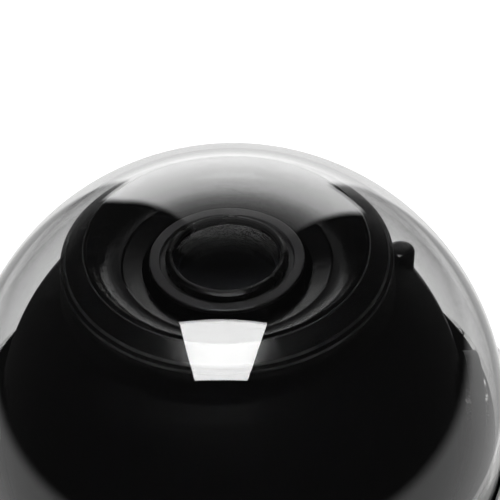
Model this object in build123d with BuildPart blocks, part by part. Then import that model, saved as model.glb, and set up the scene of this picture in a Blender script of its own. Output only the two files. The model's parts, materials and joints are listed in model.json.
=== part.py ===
"""Indoor PTZ dome camera, standing dome-up on its mounting plate.

Frame: millimetres, +Z up along the pan axis, origin at the centre of the mounting plate's underside.
The lens looks straight up at rest. The tilt axis is parallel to X and crosses the pan axis at DOME_Z.
"""

import math
import os

from build123d import *

# ---------------------------------------------------------------- driving dimensions
DOME_Z = 112.0  # height of the dome's centre, where the pan and tilt axes cross
DOME_R = 70.0  # clear dome, outside
DOME_WALL = 2.1
DOME_IN = DOME_R - DOME_WALL
DOME_FLANGE_R = 77.2
DOME_FLANGE_Z = 99.0
DOME_FLANGE_H = 2.5

PLATE_R = 80.0  # mounting plate
PLATE_H = 3.0
MOUNT_PCD = 120.0
MOUNT_HOLE_R = 2.25
CABLE_R = 3.2  # hole in the grommet for a network cable
LOCK_R = 66.0  # pitch radius of the screws that hold the housing to the plate
LOCK_ANGLE = 22.0

HOUSING_R0 = 84.0  # base housing, outside radius at the bottom
HOUSING_R1 = 79.0  # and at the rim under the dome ring
HOUSING_WALL = 3.0
FLOOR_Z = 3.0
FLOOR_H = 3.0
RIM_Z = 98.0  # top of the housing's rim
RIM_H = 4.0
RIM_IN = 69.6

BOARD_Z = 12.0
BOARD_H = 1.6
BOARD_R = 70.0
CHASSIS_Z = 30.0
CHASSIS_H = 3.0
CHASSIS_TOP = CHASSIS_Z + CHASSIS_H
CHASSIS_R = 76.0
STANDOFF_R = 72.0  # pitch radius of the chassis standoffs

LINER_IN = 67.1  # black liner around the ball
LINER_OUT = 69.0
LINER_LIP_OUT = 67.7
LINER_FOOT = 75.5
LINER_TOP = DOME_Z + 1.2

BEARING_R = 35.0  # pitch radius of the pan bearing's balls
BEARING_BALL = 2.0
BEARING_Z = CHASSIS_TOP + 3.3
BEARING_BALLS = 30

PAN_MODULE = 0.8
PAN_TEETH = 110
PAN_PINION_TEETH = 18
PAN_GEAR_Z = 41.0
PAN_GEAR_H = 4.0
PAN_CENTRES = PAN_MODULE * (PAN_TEETH + PAN_PINION_TEETH) / 2

TILT_MODULE = 0.6
TILT_TEETH = 40
TILT_PINION_TEETH = 16
TILT_CENTRES = TILT_MODULE * (TILT_TEETH + TILT_PINION_TEETH) / 2
TILT_GEAR_X = -48.0  # outer face of the fixed gear on the left axle
TILT_GEAR_W = 4.0

TABLE_Z = PAN_GEAR_Z + PAN_GEAR_H  # turntable disc
TABLE_H = 3.5
TABLE_R = 42.5
HOME_R = 62.0  # radius at which the home flag passes through its sensor
YOKE_Z = TABLE_Z + TABLE_H
YOKE_IN = 61.5  # the yoke follows the ball at these two sphere radii
YOKE_OUT = 65.0
YOKE_HALF = 14.0  # half width of a yoke arm
AXLE_R = 3.95
AXLE_HOLE_R = 4.0

BALL_R = 60.0
BALL_WALL = 2.2
BALL_IN = BALL_R - BALL_WALL
COLLAR_R = 66.6  # raised collar lies on this sphere, concentric with the dome
COLLAR_EDGE = 40.3  # radius of the collar's outside wall
COLLAR_CHAMFER = 1.2
CUP_EDGE = 33.5  # mouth of the concave lens cup
CUP_STEP = (25.3, 51.7)  # (radius, height above the tilt axis)
CUP_HOLE = (20.6, 50.5)

BLOCK_SIZE = 50.0  # camera block, square
BLOCK_LOW = -24.0  # heights above the tilt axis
BLOCK_TOP = 38.0
BORE_R = 18.0
BORE_LOW = -21.0
ROD_X = 15.0
ROD_R = 1.0
ROD_HOLE_R = 1.05
BARREL_R = 18.9

FRAME_LOW = -34.0  # underside of the head frame, from the tilt axis
COVER_SCREW_X = 30.0

CONTACT_GAP = 0.05  # between faces that only touch

# Half-sections through the tilt centre are drawn here as (radius, height above the tilt axis).
SECTION = Plane((0, 0, DOME_Z), x_dir=(1, 0, 0), z_dir=(0, -1, 0))


# ---------------------------------------------------------------- helpers
def write(part, label):
    """Labels a finished piece and writes its STEP file."""
    part.label = label
    export_step(part, f"parts/{label}.step")


def sphere_z(radius, r):
    """Height above a sphere's centre of its point at distance r from the axis."""
    return math.sqrt(radius**2 - r**2)


def ring_profile(r_in, r_out, z0, z1):
    """Adds a rectangle in the XZ plane to the open sketch, for revolving about Z."""
    with Locations(((r_in + r_out) / 2, (z0 + z1) / 2)):
        Rectangle(r_out - r_in, z1 - z0)


def on_circle(radius, angles):
    """Points on a circle about the origin, one for each angle in degrees."""
    return [
        (radius * math.cos(math.radians(a)), radius * math.sin(math.radians(a)))
        for a in angles
    ]


def screw(r, length, head_r, head_h, plane):
    """A socket-head screw: the head stands on the plane, the shank goes down from it."""
    with BuildPart() as body:
        with BuildSketch(plane):
            Circle(head_r)
        extrude(amount=head_h)
        with BuildSketch(plane.offset(head_h)):
            RegularPolygon(head_r * 0.55, 6)
        extrude(amount=-head_h * 0.6, mode=Mode.SUBTRACT)
        with BuildSketch(plane):
            Circle(r)
        extrude(amount=-length)
    return body.part


def group(solids, label):
    """Writes several equal solids as one node."""
    write(Compound(children=solids), label)


def involute(angle):
    """Involute function of a pressure angle."""
    return math.tan(angle) - angle


def gear_outline(teeth, module, phase, backlash=0.12):
    """A spur gear's outline about the origin, with one tooth centred on the phase angle."""
    pitch = module * teeth / 2
    base = pitch * math.cos(math.radians(20))
    root = pitch - 1.25 * module
    tip = pitch + module
    half_pitch = math.pi / (2 * teeth) - backlash / (2 * pitch)

    def half_angle(r):
        pressure = math.acos(min(1.0, base / r))
        return half_pitch + involute(math.radians(20)) - involute(pressure)

    def point(r, angle):
        return (r * math.cos(angle), r * math.sin(angle))

    flank = [root, (max(root, base) + tip) / 2, tip]
    with BuildSketch() as outline:
        with BuildLine():
            for k in range(teeth):
                middle = math.radians(phase) + 2 * math.pi * k / teeth
                left = [point(r, middle - half_angle(r)) for r in flank]
                right = [point(r, middle + half_angle(r)) for r in flank]
                next_left = middle + 2 * math.pi / teeth - half_angle(root)
                ThreePointArc(*left)
                Line(left[2], right[2])
                ThreePointArc(right[2], right[1], right[0])
                Line(right[0], point(root, next_left))
        make_face()
    return outline.sketch


# ---------------------------------------------------------------- base
def mounting_plate():
    """Steel plate that the bracket or ceiling bolts to; its screws come up into the housing floor."""
    with BuildPart() as body:
        with BuildSketch():
            Circle(PLATE_R)
            Circle(14.0, mode=Mode.SUBTRACT)
            with PolarLocations(MOUNT_PCD / 2, 4):
                Circle(MOUNT_HOLE_R, mode=Mode.SUBTRACT)
        extrude(amount=PLATE_H)
        with Locations(Plane.XY.rotated((180, 0, 0))):
            with PolarLocations(LOCK_R, 3, start_angle=-LOCK_ANGLE):
                CounterSinkHole(2.1, 4.2)
        chamfer(body.edges().filter_by(GeomType.CIRCLE).sort_by(SortBy.RADIUS)[-1], 0.5)
    write(body.part, "mounting_plate")


def plate_lock_screws():
    """Three countersunk screws from under the plate into the housing floor."""
    solids = []
    for x, y in on_circle(LOCK_R, (LOCK_ANGLE, LOCK_ANGLE + 120, LOCK_ANGLE + 240)):
        with BuildPart() as body:
            with BuildSketch(Plane.XZ):
                with BuildLine():
                    Polyline((0, 0.3), (3.8, 0.3), (1.95, 2.15), (1.95, 8.0), (0, 8.0), close=True)
                make_face()
            revolve(axis=Axis.Z)
            with BuildSketch(Plane.XY.offset(0.3)):
                RegularPolygon(1.5, 6)
            extrude(amount=1.5, mode=Mode.SUBTRACT)
        solids.append(Pos(x, y, 0) * body.part)
    group(solids, "plate_lock_screws")


def housing_radius(z):
    """Outside radius of the tapered base housing at height z."""
    return HOUSING_R0 + (HOUSING_R1 - HOUSING_R0) * (z - FLOOR_Z) / (RIM_Z - FLOOR_Z)


def base_housing():
    """White base shell with a floor, a rim for the dome's flange and a window for the network jack."""
    with BuildPart() as body:
        with BuildSketch(Plane.XZ):
            with BuildLine():
                Polyline(
                    (12.0, FLOOR_Z),
                    (HOUSING_R0 - 1.0, FLOOR_Z),
                    (HOUSING_R0, FLOOR_Z + 1.0),
                    (HOUSING_R1, RIM_Z),
                    (RIM_IN, RIM_Z),
                    (RIM_IN, RIM_Z - RIM_H),
                    (housing_radius(RIM_Z - RIM_H) - HOUSING_WALL - 3.0, RIM_Z - RIM_H),
                    (housing_radius(RIM_Z - RIM_H - 4) - HOUSING_WALL, RIM_Z - RIM_H - 4),
                    (housing_radius(FLOOR_Z + FLOOR_H) - HOUSING_WALL, FLOOR_Z + FLOOR_H),
                    (12.0, FLOOR_Z + FLOOR_H),
                    close=True,
                )
            make_face()
        revolve(axis=Axis.Z)
        # bosses that take the plate screws and the chassis standoffs
        with BuildSketch(Plane.XY.offset(FLOOR_Z + FLOOR_H)):
            with PolarLocations(LOCK_R, 3, start_angle=LOCK_ANGLE):
                Circle(4.5)
        extrude(amount=3.0)
        with BuildSketch(Plane.XY.offset(FLOOR_Z)):
            with PolarLocations(LOCK_R, 3, start_angle=LOCK_ANGLE):
                Circle(2.0)
            with PolarLocations(MOUNT_PCD / 2, 4):
                Circle(5.0)
        extrude(amount=5.5, mode=Mode.SUBTRACT)
        # pilot holes for the dome screws
        with BuildSketch(Plane.XY.offset(RIM_Z)):
            with PolarLocations(74.6, 6, start_angle=30):
                Circle(1.3)
        extrude(amount=-3.6, mode=Mode.SUBTRACT)
        # rear window for the network jack, and holes for the light pipe and the reset button
        with BuildSketch(Plane.XZ.offset(-70.0)):
            with Locations((0, 20.4)):
                Rectangle(17.0, 14.6)
            with Locations((16.0, 20.0)):
                Circle(2.6)
            with Locations((-16.0, 20.0)):
                Circle(1.6)
        extrude(amount=-20.0, mode=Mode.SUBTRACT)
    write(body.part, "base_housing")


def cable_grommet():
    """Rubber grommet in the housing floor for a cable that comes through the mounting surface."""
    with BuildPart() as body:
        with BuildSketch(Plane.XZ):
            with BuildLine():
                Polyline(
                    (CABLE_R, 1.4),
                    (13.4, 1.4),
                    (13.4, FLOOR_Z - CONTACT_GAP),
                    (12.0 - CONTACT_GAP, FLOOR_Z - CONTACT_GAP),
                    (12.0 - CONTACT_GAP, FLOOR_Z + FLOOR_H + CONTACT_GAP),
                    (13.6, FLOOR_Z + FLOOR_H + CONTACT_GAP),
                    (12.4, 7.8),
                    (CABLE_R, 7.8),
                    close=True,
                )
            make_face()
        revolve(axis=Axis.Z)
    write(body.part, "cable_grommet")


def rim_parts():
    """Gasket, clamp ring and screws that hold the dome on the housing's rim."""
    with BuildPart() as gasket:
        with BuildSketch(Plane.XY.offset(RIM_Z)):
            Circle(77.0)
            Circle(70.2, mode=Mode.SUBTRACT)
            with PolarLocations(74.6, 6, start_angle=30):
                Circle(1.6, mode=Mode.SUBTRACT)
        extrude(amount=DOME_FLANGE_Z - RIM_Z)
    write(gasket.part, "dome_gasket")

    top = DOME_FLANGE_Z + DOME_FLANGE_H
    with BuildPart() as clamp:
        with BuildSketch(Plane.XZ):
            with BuildLine():
                Polyline(
                    (DOME_FLANGE_R + 0.2, RIM_Z),
                    (HOUSING_R1, RIM_Z),
                    (HOUSING_R1, RIM_Z + 2.2),
                )
                ThreePointArc((HOUSING_R1, RIM_Z + 2.2), (77.7, top + 1.5), (74.6, top + 3.0))
                Polyline(
                    (74.6, top + 3.0),
                    (71.0, top + 3.0),
                    (70.3, top + 2.3),
                    (70.3, top),
                    (DOME_FLANGE_R + 0.2, top),
                    (DOME_FLANGE_R + 0.2, RIM_Z),
                )
            make_face()
        revolve(axis=Axis.Z)
        with BuildSketch(Plane.XY.offset(top + 3.2)):
            with PolarLocations(74.6, 6, start_angle=30):
                Circle(2.4)
        extrude(amount=-1.9, mode=Mode.SUBTRACT)
        with BuildSketch(Plane.XY.offset(top + 3.2)):
            with PolarLocations(74.6, 6, start_angle=30):
                Circle(1.4)
        extrude(amount=-5.0, mode=Mode.SUBTRACT)
    write(clamp.part, "dome_ring")

    solids = []
    for x, y in on_circle(74.6, range(30, 390, 60)):
        solids.append(screw(1.25, 6.4, 2.2, 1.4, Plane((x, y, top + 1.3))))
    group(solids, "dome_ring_screws")


def clear_dome():
    """Clear hemisphere on a short cylinder, with a flange that the clamp ring holds."""
    with BuildPart() as body:
        with BuildSketch(Plane.XZ):
            with BuildLine():
                Polyline(
                    (DOME_IN, DOME_Z),
                    (DOME_IN, DOME_FLANGE_Z),
                    (DOME_FLANGE_R, DOME_FLANGE_Z),
                    (DOME_FLANGE_R, DOME_FLANGE_Z + DOME_FLANGE_H),
                    (DOME_R, DOME_FLANGE_Z + DOME_FLANGE_H),
                    (DOME_R, DOME_Z),
                )
                CenterArc((0, DOME_Z), DOME_R, 0, 90)
                Line((0, DOME_Z + DOME_R), (0, DOME_Z + DOME_IN))
                CenterArc((0, DOME_Z), DOME_IN, 0, 90)
            make_face()
        revolve(axis=Axis.Z)
        with BuildSketch(Plane.XY.offset(DOME_FLANGE_Z)):
            with PolarLocations(74.6, 6, start_angle=30):
                Circle(1.7)
        extrude(amount=DOME_FLANGE_H, mode=Mode.SUBTRACT)
    write(body.part, "clear_dome")


def inner_liner():
    """Black liner that stands on the chassis and hides the works, with a thin lip inside the dome."""
    with BuildPart() as body:
        with BuildSketch(Plane.XZ):
            with BuildLine():
                Polyline(
                    (LINER_IN, CHASSIS_TOP),
                    (LINER_FOOT, CHASSIS_TOP),
                    (LINER_FOOT, CHASSIS_TOP + 2.0),
                    (LINER_OUT, CHASSIS_TOP + 2.0),
                    (LINER_OUT, RIM_Z + 0.6),
                    (LINER_LIP_OUT, RIM_Z + 0.9),
                    (LINER_LIP_OUT, LINER_TOP - 0.2),
                    (LINER_LIP_OUT - 0.2, LINER_TOP),
                    (LINER_IN, LINER_TOP),
                    close=True,
                )
            make_face()
        revolve(axis=Axis.Z)
        with BuildSketch(Plane.XY.offset(CHASSIS_TOP)):
            with PolarLocations(STANDOFF_R, 4, start_angle=45):
                Circle(2.0)
        extrude(amount=2.0, mode=Mode.SUBTRACT)
    write(body.part, "inner_liner")


def chassis():
    """Chassis plate on four standoffs, with the openings for the motor, slip ring and pinion."""
    with BuildPart() as plate:
        with BuildSketch(Plane.XY.offset(CHASSIS_Z)):
            Circle(CHASSIS_R)
            Circle(11.0, mode=Mode.SUBTRACT)
            with Locations((PAN_CENTRES, 0)):
                Circle(5.0, mode=Mode.SUBTRACT)
                with Locations((0, 11.5), (0, -11.5)):
                    Circle(1.3, mode=Mode.SUBTRACT)
            with PolarLocations(STANDOFF_R, 4, start_angle=45):
                Circle(1.6, mode=Mode.SUBTRACT)
            with PolarLocations(43.0, 4, start_angle=45):
                Circle(1.3, mode=Mode.SUBTRACT)
        extrude(amount=CHASSIS_H)
    write(plate.part, "chassis_plate")

    posts = []
    screws = []
    for x, y in on_circle(STANDOFF_R, (45, 135, 225, 315)):
        with BuildPart() as post:
            with BuildSketch(Plane((x, y, FLOOR_Z + FLOOR_H))):
                RegularPolygon(3.4, 6)
            extrude(amount=CHASSIS_Z - FLOOR_Z - FLOOR_H)
            with BuildSketch(Plane((x, y, CHASSIS_Z))):
                Circle(1.55)
            extrude(amount=-6.0, mode=Mode.SUBTRACT)
        posts.append(post.part)
        screws.append(screw(1.5, 9.0, 2.7, 2.0, Plane((x, y, CHASSIS_TOP + 2.0))))
    group(posts, "chassis_standoffs")
    group(screws, "chassis_screws")


def pan_bearing():
    """Thin ball bearing that carries the turret: fixed outer race, balls and a turning inner race."""
    groove = BEARING_BALL + 0.06
    with BuildPart() as outer:
        with BuildSketch(Plane.XZ):
            ring_profile(BEARING_R + 1.2, 40.0, CHASSIS_TOP, BEARING_Z + 3.0)
            with Locations((BEARING_R, BEARING_Z)):
                Circle(groove, mode=Mode.SUBTRACT)
        revolve(axis=Axis.Z)
    write(outer.part, "pan_bearing_outer")

    with BuildPart() as inner:
        with BuildSketch(Plane.XZ):
            ring_profile(30.0, BEARING_R - 1.2, CHASSIS_TOP + 0.6, BEARING_Z + 3.3)
            with Locations((BEARING_R, BEARING_Z)):
                Circle(groove, mode=Mode.SUBTRACT)
        revolve(axis=Axis.Z)
    write(inner.part, "pan_bearing_inner")

    balls = []
    for x, y in on_circle(BEARING_R, [360 * k / BEARING_BALLS for k in range(BEARING_BALLS)]):
        balls.append(Pos(x, y, BEARING_Z) * Sphere(BEARING_BALL))
    group(balls, "pan_bearing_balls")

    with BuildPart() as clamp:
        with BuildSketch(Plane.XZ):
            ring_profile(40.0 + CONTACT_GAP, 46.0, CHASSIS_TOP, CHASSIS_TOP + 2.5)
            ring_profile(40.0 + CONTACT_GAP, 41.8, CHASSIS_TOP, BEARING_Z + 3.8)
            ring_profile(38.0, 41.8, BEARING_Z + 3.0, BEARING_Z + 3.8)
        revolve(axis=Axis.Z)
        with BuildSketch(Plane.XY.offset(CHASSIS_TOP)):
            with PolarLocations(43.8, 4, start_angle=45):
                Circle(1.3)
        extrude(amount=3.0, mode=Mode.SUBTRACT)
    write(clamp.part, "pan_bearing_clamp")


def pan_motor():
    """Can motor hung under the chassis, with the two screws that hold it."""
    low = CHASSIS_Z - 14.0
    with BuildPart() as body:
        with BuildSketch(Plane.XY.offset(low)):
            with Locations((PAN_CENTRES, 0)):
                Circle(16.5)
        extrude(amount=13.0)
        with BuildSketch(Plane.XY.offset(low + 13.0)):
            with Locations((PAN_CENTRES, 0)):
                Rectangle(18.0, 30.0)
                Circle(16.5)
        extrude(amount=1.0)
        with BuildSketch(Plane.XY.offset(CHASSIS_Z)):
            with Locations((PAN_CENTRES, 0)):
                Circle(4.8)
        extrude(amount=1.5)
        with BuildSketch(Plane.XY.offset(CHASSIS_Z + 1.5)):
            with Locations((PAN_CENTRES, 0)):
                Circle(1.55)
        extrude(amount=-12.0, mode=Mode.SUBTRACT)
        with BuildSketch(Plane.XY.offset(CHASSIS_Z)):
            with Locations((PAN_CENTRES, 11.5), (PAN_CENTRES, -11.5)):
                Circle(1.1)
        extrude(amount=-5.0, mode=Mode.SUBTRACT)
    write(body.part, "pan_motor")

    solids = []
    for y in (11.5, -11.5):
        solids.append(screw(1.05, 7.0, 2.0, 1.5, Plane((PAN_CENTRES, y, CHASSIS_TOP))))
    group(solids, "pan_motor_screws")

    with BuildPart() as pinion:
        with BuildSketch(Plane.XY.offset(PAN_GEAR_Z - 0.6)):
            add(gear_outline(PAN_PINION_TEETH, PAN_MODULE, 180 / PAN_PINION_TEETH))
        extrude(amount=PAN_GEAR_H + 1.2)
        with BuildSketch(Plane.XY.offset(CHASSIS_Z - 8.0)):
            Circle(1.5)
        extrude(amount=PAN_GEAR_Z - CHASSIS_Z + 8.0)
        with BuildSketch(Plane.XY.offset(CHASSIS_TOP + 2.0)):
            Circle(4.0)
        extrude(amount=PAN_GEAR_Z - CHASSIS_TOP - 2.0)
    write(Pos(PAN_CENTRES, 0, 0) * pinion.part, "pan_pinion")


def main_board():
    """Round main board with its chips, capacitors, standoffs, reset switch and network jack."""
    top = BOARD_Z + BOARD_H
    feet = [(38, 48), (-38, 48), (38, -48), (-38, -48)]
    with BuildPart() as board:
        with BuildSketch(Plane.XY.offset(BOARD_Z)):
            Circle(BOARD_R)
            Circle(16.0, mode=Mode.SUBTRACT)
            with PolarLocations(STANDOFF_R, 4, start_angle=45):
                Circle(5.0, mode=Mode.SUBTRACT)
            with Locations(*feet):
                Circle(1.6, mode=Mode.SUBTRACT)
        extrude(amount=BOARD_H)
    write(board.part, "main_board")

    with BuildPart() as chips:
        with BuildSketch(Plane.XY.offset(top)):
            with Locations((-30, 8)):
                Rectangle(23, 23)
        extrude(amount=2.2)
        with BuildSketch(Plane.XY.offset(top)):
            with Locations((-30, -20), (-12, -30)):
                Rectangle(12, 9)
            with Locations((10, -48), (20, -48), (30, -48)):
                Rectangle(5, 4)
        extrude(amount=1.2)
        with BuildSketch(Plane.XY.offset(top)):
            with Locations((-8, -52), (-20, -50)):
                Circle(4.0)
        extrude(amount=11.0)
        with BuildSketch(Plane.XY.offset(top)):
            with Locations((24, 42)):
                Rectangle(16, 15)
        extrude(amount=9.0)
        # switch behind the reset button
        with BuildSketch(Plane.XY.offset(top)):
            with Locations((16.0, 63.5)):
                Rectangle(7.0, 5.0)
        extrude(amount=9.4)
    write(chips.part, "main_board_components")

    posts = []
    for x, y in feet:
        with BuildPart() as post:
            with BuildSketch(Plane((x, y, FLOOR_Z + FLOOR_H))):
                RegularPolygon(3.0, 6)
            extrude(amount=BOARD_Z - FLOOR_Z - FLOOR_H)
            with BuildSketch(Plane((x, y, BOARD_Z))):
                Circle(1.5)
            extrude(amount=BOARD_H)
            with BuildSketch(Plane((x, y, top))):
                Circle(2.6)
            extrude(amount=1.6)
        posts.append(post.part)
    group(posts, "board_standoffs")

    with BuildPart() as jack:
        with BuildSketch(Plane.XY.offset(top)):
            with Locations((0, 69.0)):
                Rectangle(16.2, 21.0)
        extrude(amount=13.4)
        front = Plane((0, 79.5, top + 6.6), x_dir=(1, 0, 0), z_dir=(0, 1, 0))
        with BuildSketch(front):
            Rectangle(11.9, 8.4)
            with Locations((0, -5.0)):
                Rectangle(6.2, 2.0)
        extrude(amount=-13.0, mode=Mode.SUBTRACT)
    write(jack.part, "network_jack")


def indicator_and_button():
    """Clear light pipe and round reset button in the back of the housing."""
    back = Plane((16.0, 0, 20.0), x_dir=(1, 0, 0), z_dir=(0, 1, 0))
    with BuildPart() as button:
        with BuildSketch(back.offset(81.0)):
            Circle(2.5)
        extrude(amount=-9.0)
        with BuildSketch(back.offset(76.0)):
            Circle(3.6)
        extrude(amount=-1.5)
        with BuildSketch(back.offset(72.5)):
            Circle(1.5)
        extrude(amount=-5.7)
        chamfer(button.edges().filter_by(GeomType.CIRCLE).sort_by(Axis.Y)[-1], 0.3)
    write(button.part, "reset_button")

    side = Plane((-16.0, 0, 20.0), x_dir=(1, 0, 0), z_dir=(0, 1, 0))
    with BuildPart() as pipe:
        with BuildSketch(side.offset(81.3)):
            Circle(1.5)
        extrude(amount=-15.3)
        with BuildSketch(side.offset(66.0)):
            Circle(1.5)
        extrude(amount=-3.0)
        with BuildSketch(Plane((-16.0, 64.0, 20.0))):
            Circle(1.0)
        extrude(amount=-(20.0 - BOARD_Z - BOARD_H))
    write(pipe.part, "status_light_pipe")


def slip_ring():
    """Slip ring on the pan axis: the stator hangs in the chassis, the rotor turns with the turret."""
    with BuildPart() as stator:
        with BuildSketch(Plane.XZ):
            ring_profile(5.2, 10.9, 17.0, CHASSIS_TOP)
            ring_profile(5.2, 15.0, CHASSIS_Z - 2.0, CHASSIS_Z)
            ring_profile(0, 10.9, 17.0, 19.0)
        revolve(axis=Axis.Z)
    write(stator.part, "slip_ring_stator")

    with BuildPart() as rotor:
        with BuildSketch(Plane.XZ):
            ring_profile(2.0, 4.8, 20.0, TABLE_Z)
            ring_profile(2.0, 8.0, TABLE_Z - 2.0, TABLE_Z)
        revolve(axis=Axis.Z)
    write(rotor.part, "slip_ring_rotor")


def home_sensor():
    """Fork sensor on the chassis that the turntable's flag passes through."""
    with BuildPart() as body:
        with BuildSketch(Plane.XY.offset(CHASSIS_TOP)):
            with Locations((0, HOME_R)):
                Rectangle(12.0, 8.0)
        extrude(amount=2.0)
        with BuildSketch(Plane.XY.offset(CHASSIS_TOP + 2.0)):
            with Locations((0, HOME_R - 2.9), (0, HOME_R + 2.9)):
                Rectangle(6.0, 2.0)
        extrude(amount=6.0)
    write(body.part, "pan_home_sensor")


# ---------------------------------------------------------------- turret
def turntable():
    """Turntable with its hub in the bearing, the ring gear under it and the screws that join them."""
    with BuildPart() as table:
        with BuildSketch(Plane.XZ):
            ring_profile(9.0, TABLE_R, TABLE_Z, YOKE_Z)
            ring_profile(25.0, 29.95, CHASSIS_TOP + 1.2, TABLE_Z)
            ring_profile(25.0, 33.0, BEARING_Z + 3.3, TABLE_Z)
        revolve(axis=Axis.Z)
        with BuildSketch(Plane.XY.offset(TABLE_Z)):
            with PolarLocations(38.5, 4, start_angle=45):
                Circle(1.3)
            with PolarLocations(18.0, 4, start_angle=45):
                Circle(1.6)
        extrude(amount=TABLE_H, mode=Mode.SUBTRACT)
        # flag for the home sensor, clear above and outside the pinion
        with BuildSketch(Plane.XY.offset(TABLE_Z + 1.5)):
            with Locations((0, (TABLE_R + HOME_R) / 2)):
                Rectangle(4.0, HOME_R - TABLE_R + 1.0)
        extrude(amount=TABLE_H - 1.5)
        with BuildSketch(Plane.XY.offset(CHASSIS_TOP + 3.5)):
            with Locations((0, HOME_R)):
                Rectangle(4.0, 1.0)
        extrude(amount=YOKE_Z - CHASSIS_TOP - 3.5)
    write(table.part, "turntable")

    with BuildPart() as gear:
        with BuildSketch(Plane.XY.offset(PAN_GEAR_Z)):
            add(gear_outline(PAN_TEETH, PAN_MODULE, 0))
            Circle(33.1, mode=Mode.SUBTRACT)
            with PolarLocations(38.5, 4, start_angle=45):
                Circle(1.6, mode=Mode.SUBTRACT)
        extrude(amount=PAN_GEAR_H)
        with BuildSketch(Plane.XY.offset(PAN_GEAR_Z)):
            with PolarLocations(38.5, 4, start_angle=45):
                Circle(2.5)
        extrude(amount=1.2, mode=Mode.SUBTRACT)
    write(gear.part, "pan_gear")

    flipped = [
        screw(1.25, 6.2, 2.2, 1.0, Plane((x, y, PAN_GEAR_Z + 1.2), z_dir=(0, 0, -1)))
        for x, y in on_circle(38.5, (45, 135, 225, 315))
    ]
    return flipped


def yoke():
    """U-shaped yoke that follows the ball on both sides and carries the tilt axles."""
    with BuildPart() as body:
        with BuildSketch(Plane.XZ):
            with BuildLine():
                CenterArc((0, DOME_Z), YOKE_OUT, -90, 180)
                Line((0, DOME_Z + YOKE_OUT), (0, DOME_Z - YOKE_OUT))
            make_face()
        revolve(axis=Axis.Z)
        with BuildSketch(Plane.YZ.offset(-YOKE_OUT - 1)):
            with Locations((0, DOME_Z)):
                Circle(YOKE_HALF)
            with Locations((0, (DOME_Z + YOKE_Z) / 2)):
                Rectangle(2 * YOKE_HALF, DOME_Z - YOKE_Z)
        extrude(amount=2 * YOKE_OUT + 2, mode=Mode.INTERSECT)
        with BuildSketch(Plane.XY.offset(YOKE_Z)):
            Circle(30.0)
        extrude(amount=2.0)
        with BuildSketch(Plane.XZ):
            with BuildLine():
                CenterArc((0, DOME_Z), YOKE_IN, -90, 180)
                Line((0, DOME_Z + YOKE_IN), (0, DOME_Z - YOKE_IN))
            make_face()
        revolve(axis=Axis.Z, mode=Mode.SUBTRACT)
        with BuildSketch(Plane.YZ.offset(-YOKE_OUT - 1)):
            with Locations((0, DOME_Z)):
                Circle(AXLE_HOLE_R)
        extrude(amount=2 * YOKE_OUT + 2, mode=Mode.SUBTRACT)
        for x in (-YOKE_OUT - 1, 63.9):
            with BuildSketch(Plane.YZ.offset(x)):
                with Locations((0, DOME_Z)):
                    Circle(6.7)
            extrude(amount=2.1, mode=Mode.SUBTRACT)
        with BuildSketch(Plane.XY.offset(YOKE_Z)):
            Circle(6.0)
            with PolarLocations(18.0, 4, start_angle=45):
                Circle(1.6)
        extrude(amount=2.0, mode=Mode.SUBTRACT)
    write(body.part, "yoke_frame")

    solids = turntable_screws
    for x, y in on_circle(18.0, (45, 135, 225, 315)):
        solids.append(screw(1.5, 4.6, 2.6, 1.0, Plane((x, y, TABLE_Z), z_dir=(0, 0, -1))))
    group(solids, "turret_screws")


def tilt_axles():
    """Stub axles from the yoke arms through the ball's shell; the left one carries the fixed gear."""
    for name, sign in (("tilt_axle_left", -1), ("tilt_axle_right", 1)):
        with BuildPart() as axle:
            with BuildSketch(Plane.XY):
                with BuildLine():
                    Polyline(
                        (0, 40.8), (AXLE_R - 0.3, 40.8), (AXLE_R, 41.1), (AXLE_R, 64.0),
                        (6.5, 64.0), (6.5, 65.4), (0, 65.4), close=True,
                    )
                make_face()
            revolve(axis=Axis.Y)
            with BuildSketch(Plane.XZ.offset(-65.4)):
                RegularPolygon(2.4, 6)
            extrude(amount=1.6, mode=Mode.SUBTRACT)
        placed = Pos(0, 0, DOME_Z) * Rot(0, 0, -90 * sign) * axle.part
        write(placed, name)

    with BuildPart() as sun:
        with BuildSketch():
            add(gear_outline(TILT_TEETH, TILT_MODULE, 0))
            Circle(AXLE_HOLE_R, mode=Mode.SUBTRACT)
        extrude(amount=TILT_GEAR_W)
    write(TILT_PLACE * sun.part, "tilt_sun_gear")


# A part drawn flat about Z is laid along +X here, its drawn +X pointing down towards the pinion.
TILT_PLACE = Pos(TILT_GEAR_X, 0, DOME_Z) * Rot(0, 90, 0)


# ---------------------------------------------------------------- head
def ball_arc(radius, low, high):
    """Adds an arc of a sphere's section about the tilt centre, between two angles above the horizontal."""
    return CenterArc((0, DOME_Z), radius, low, high - low)


def angle_at(radius, r):
    """Angle above the horizontal of the sphere's point at distance r from the axis."""
    return math.degrees(math.acos(r / radius))


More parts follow.
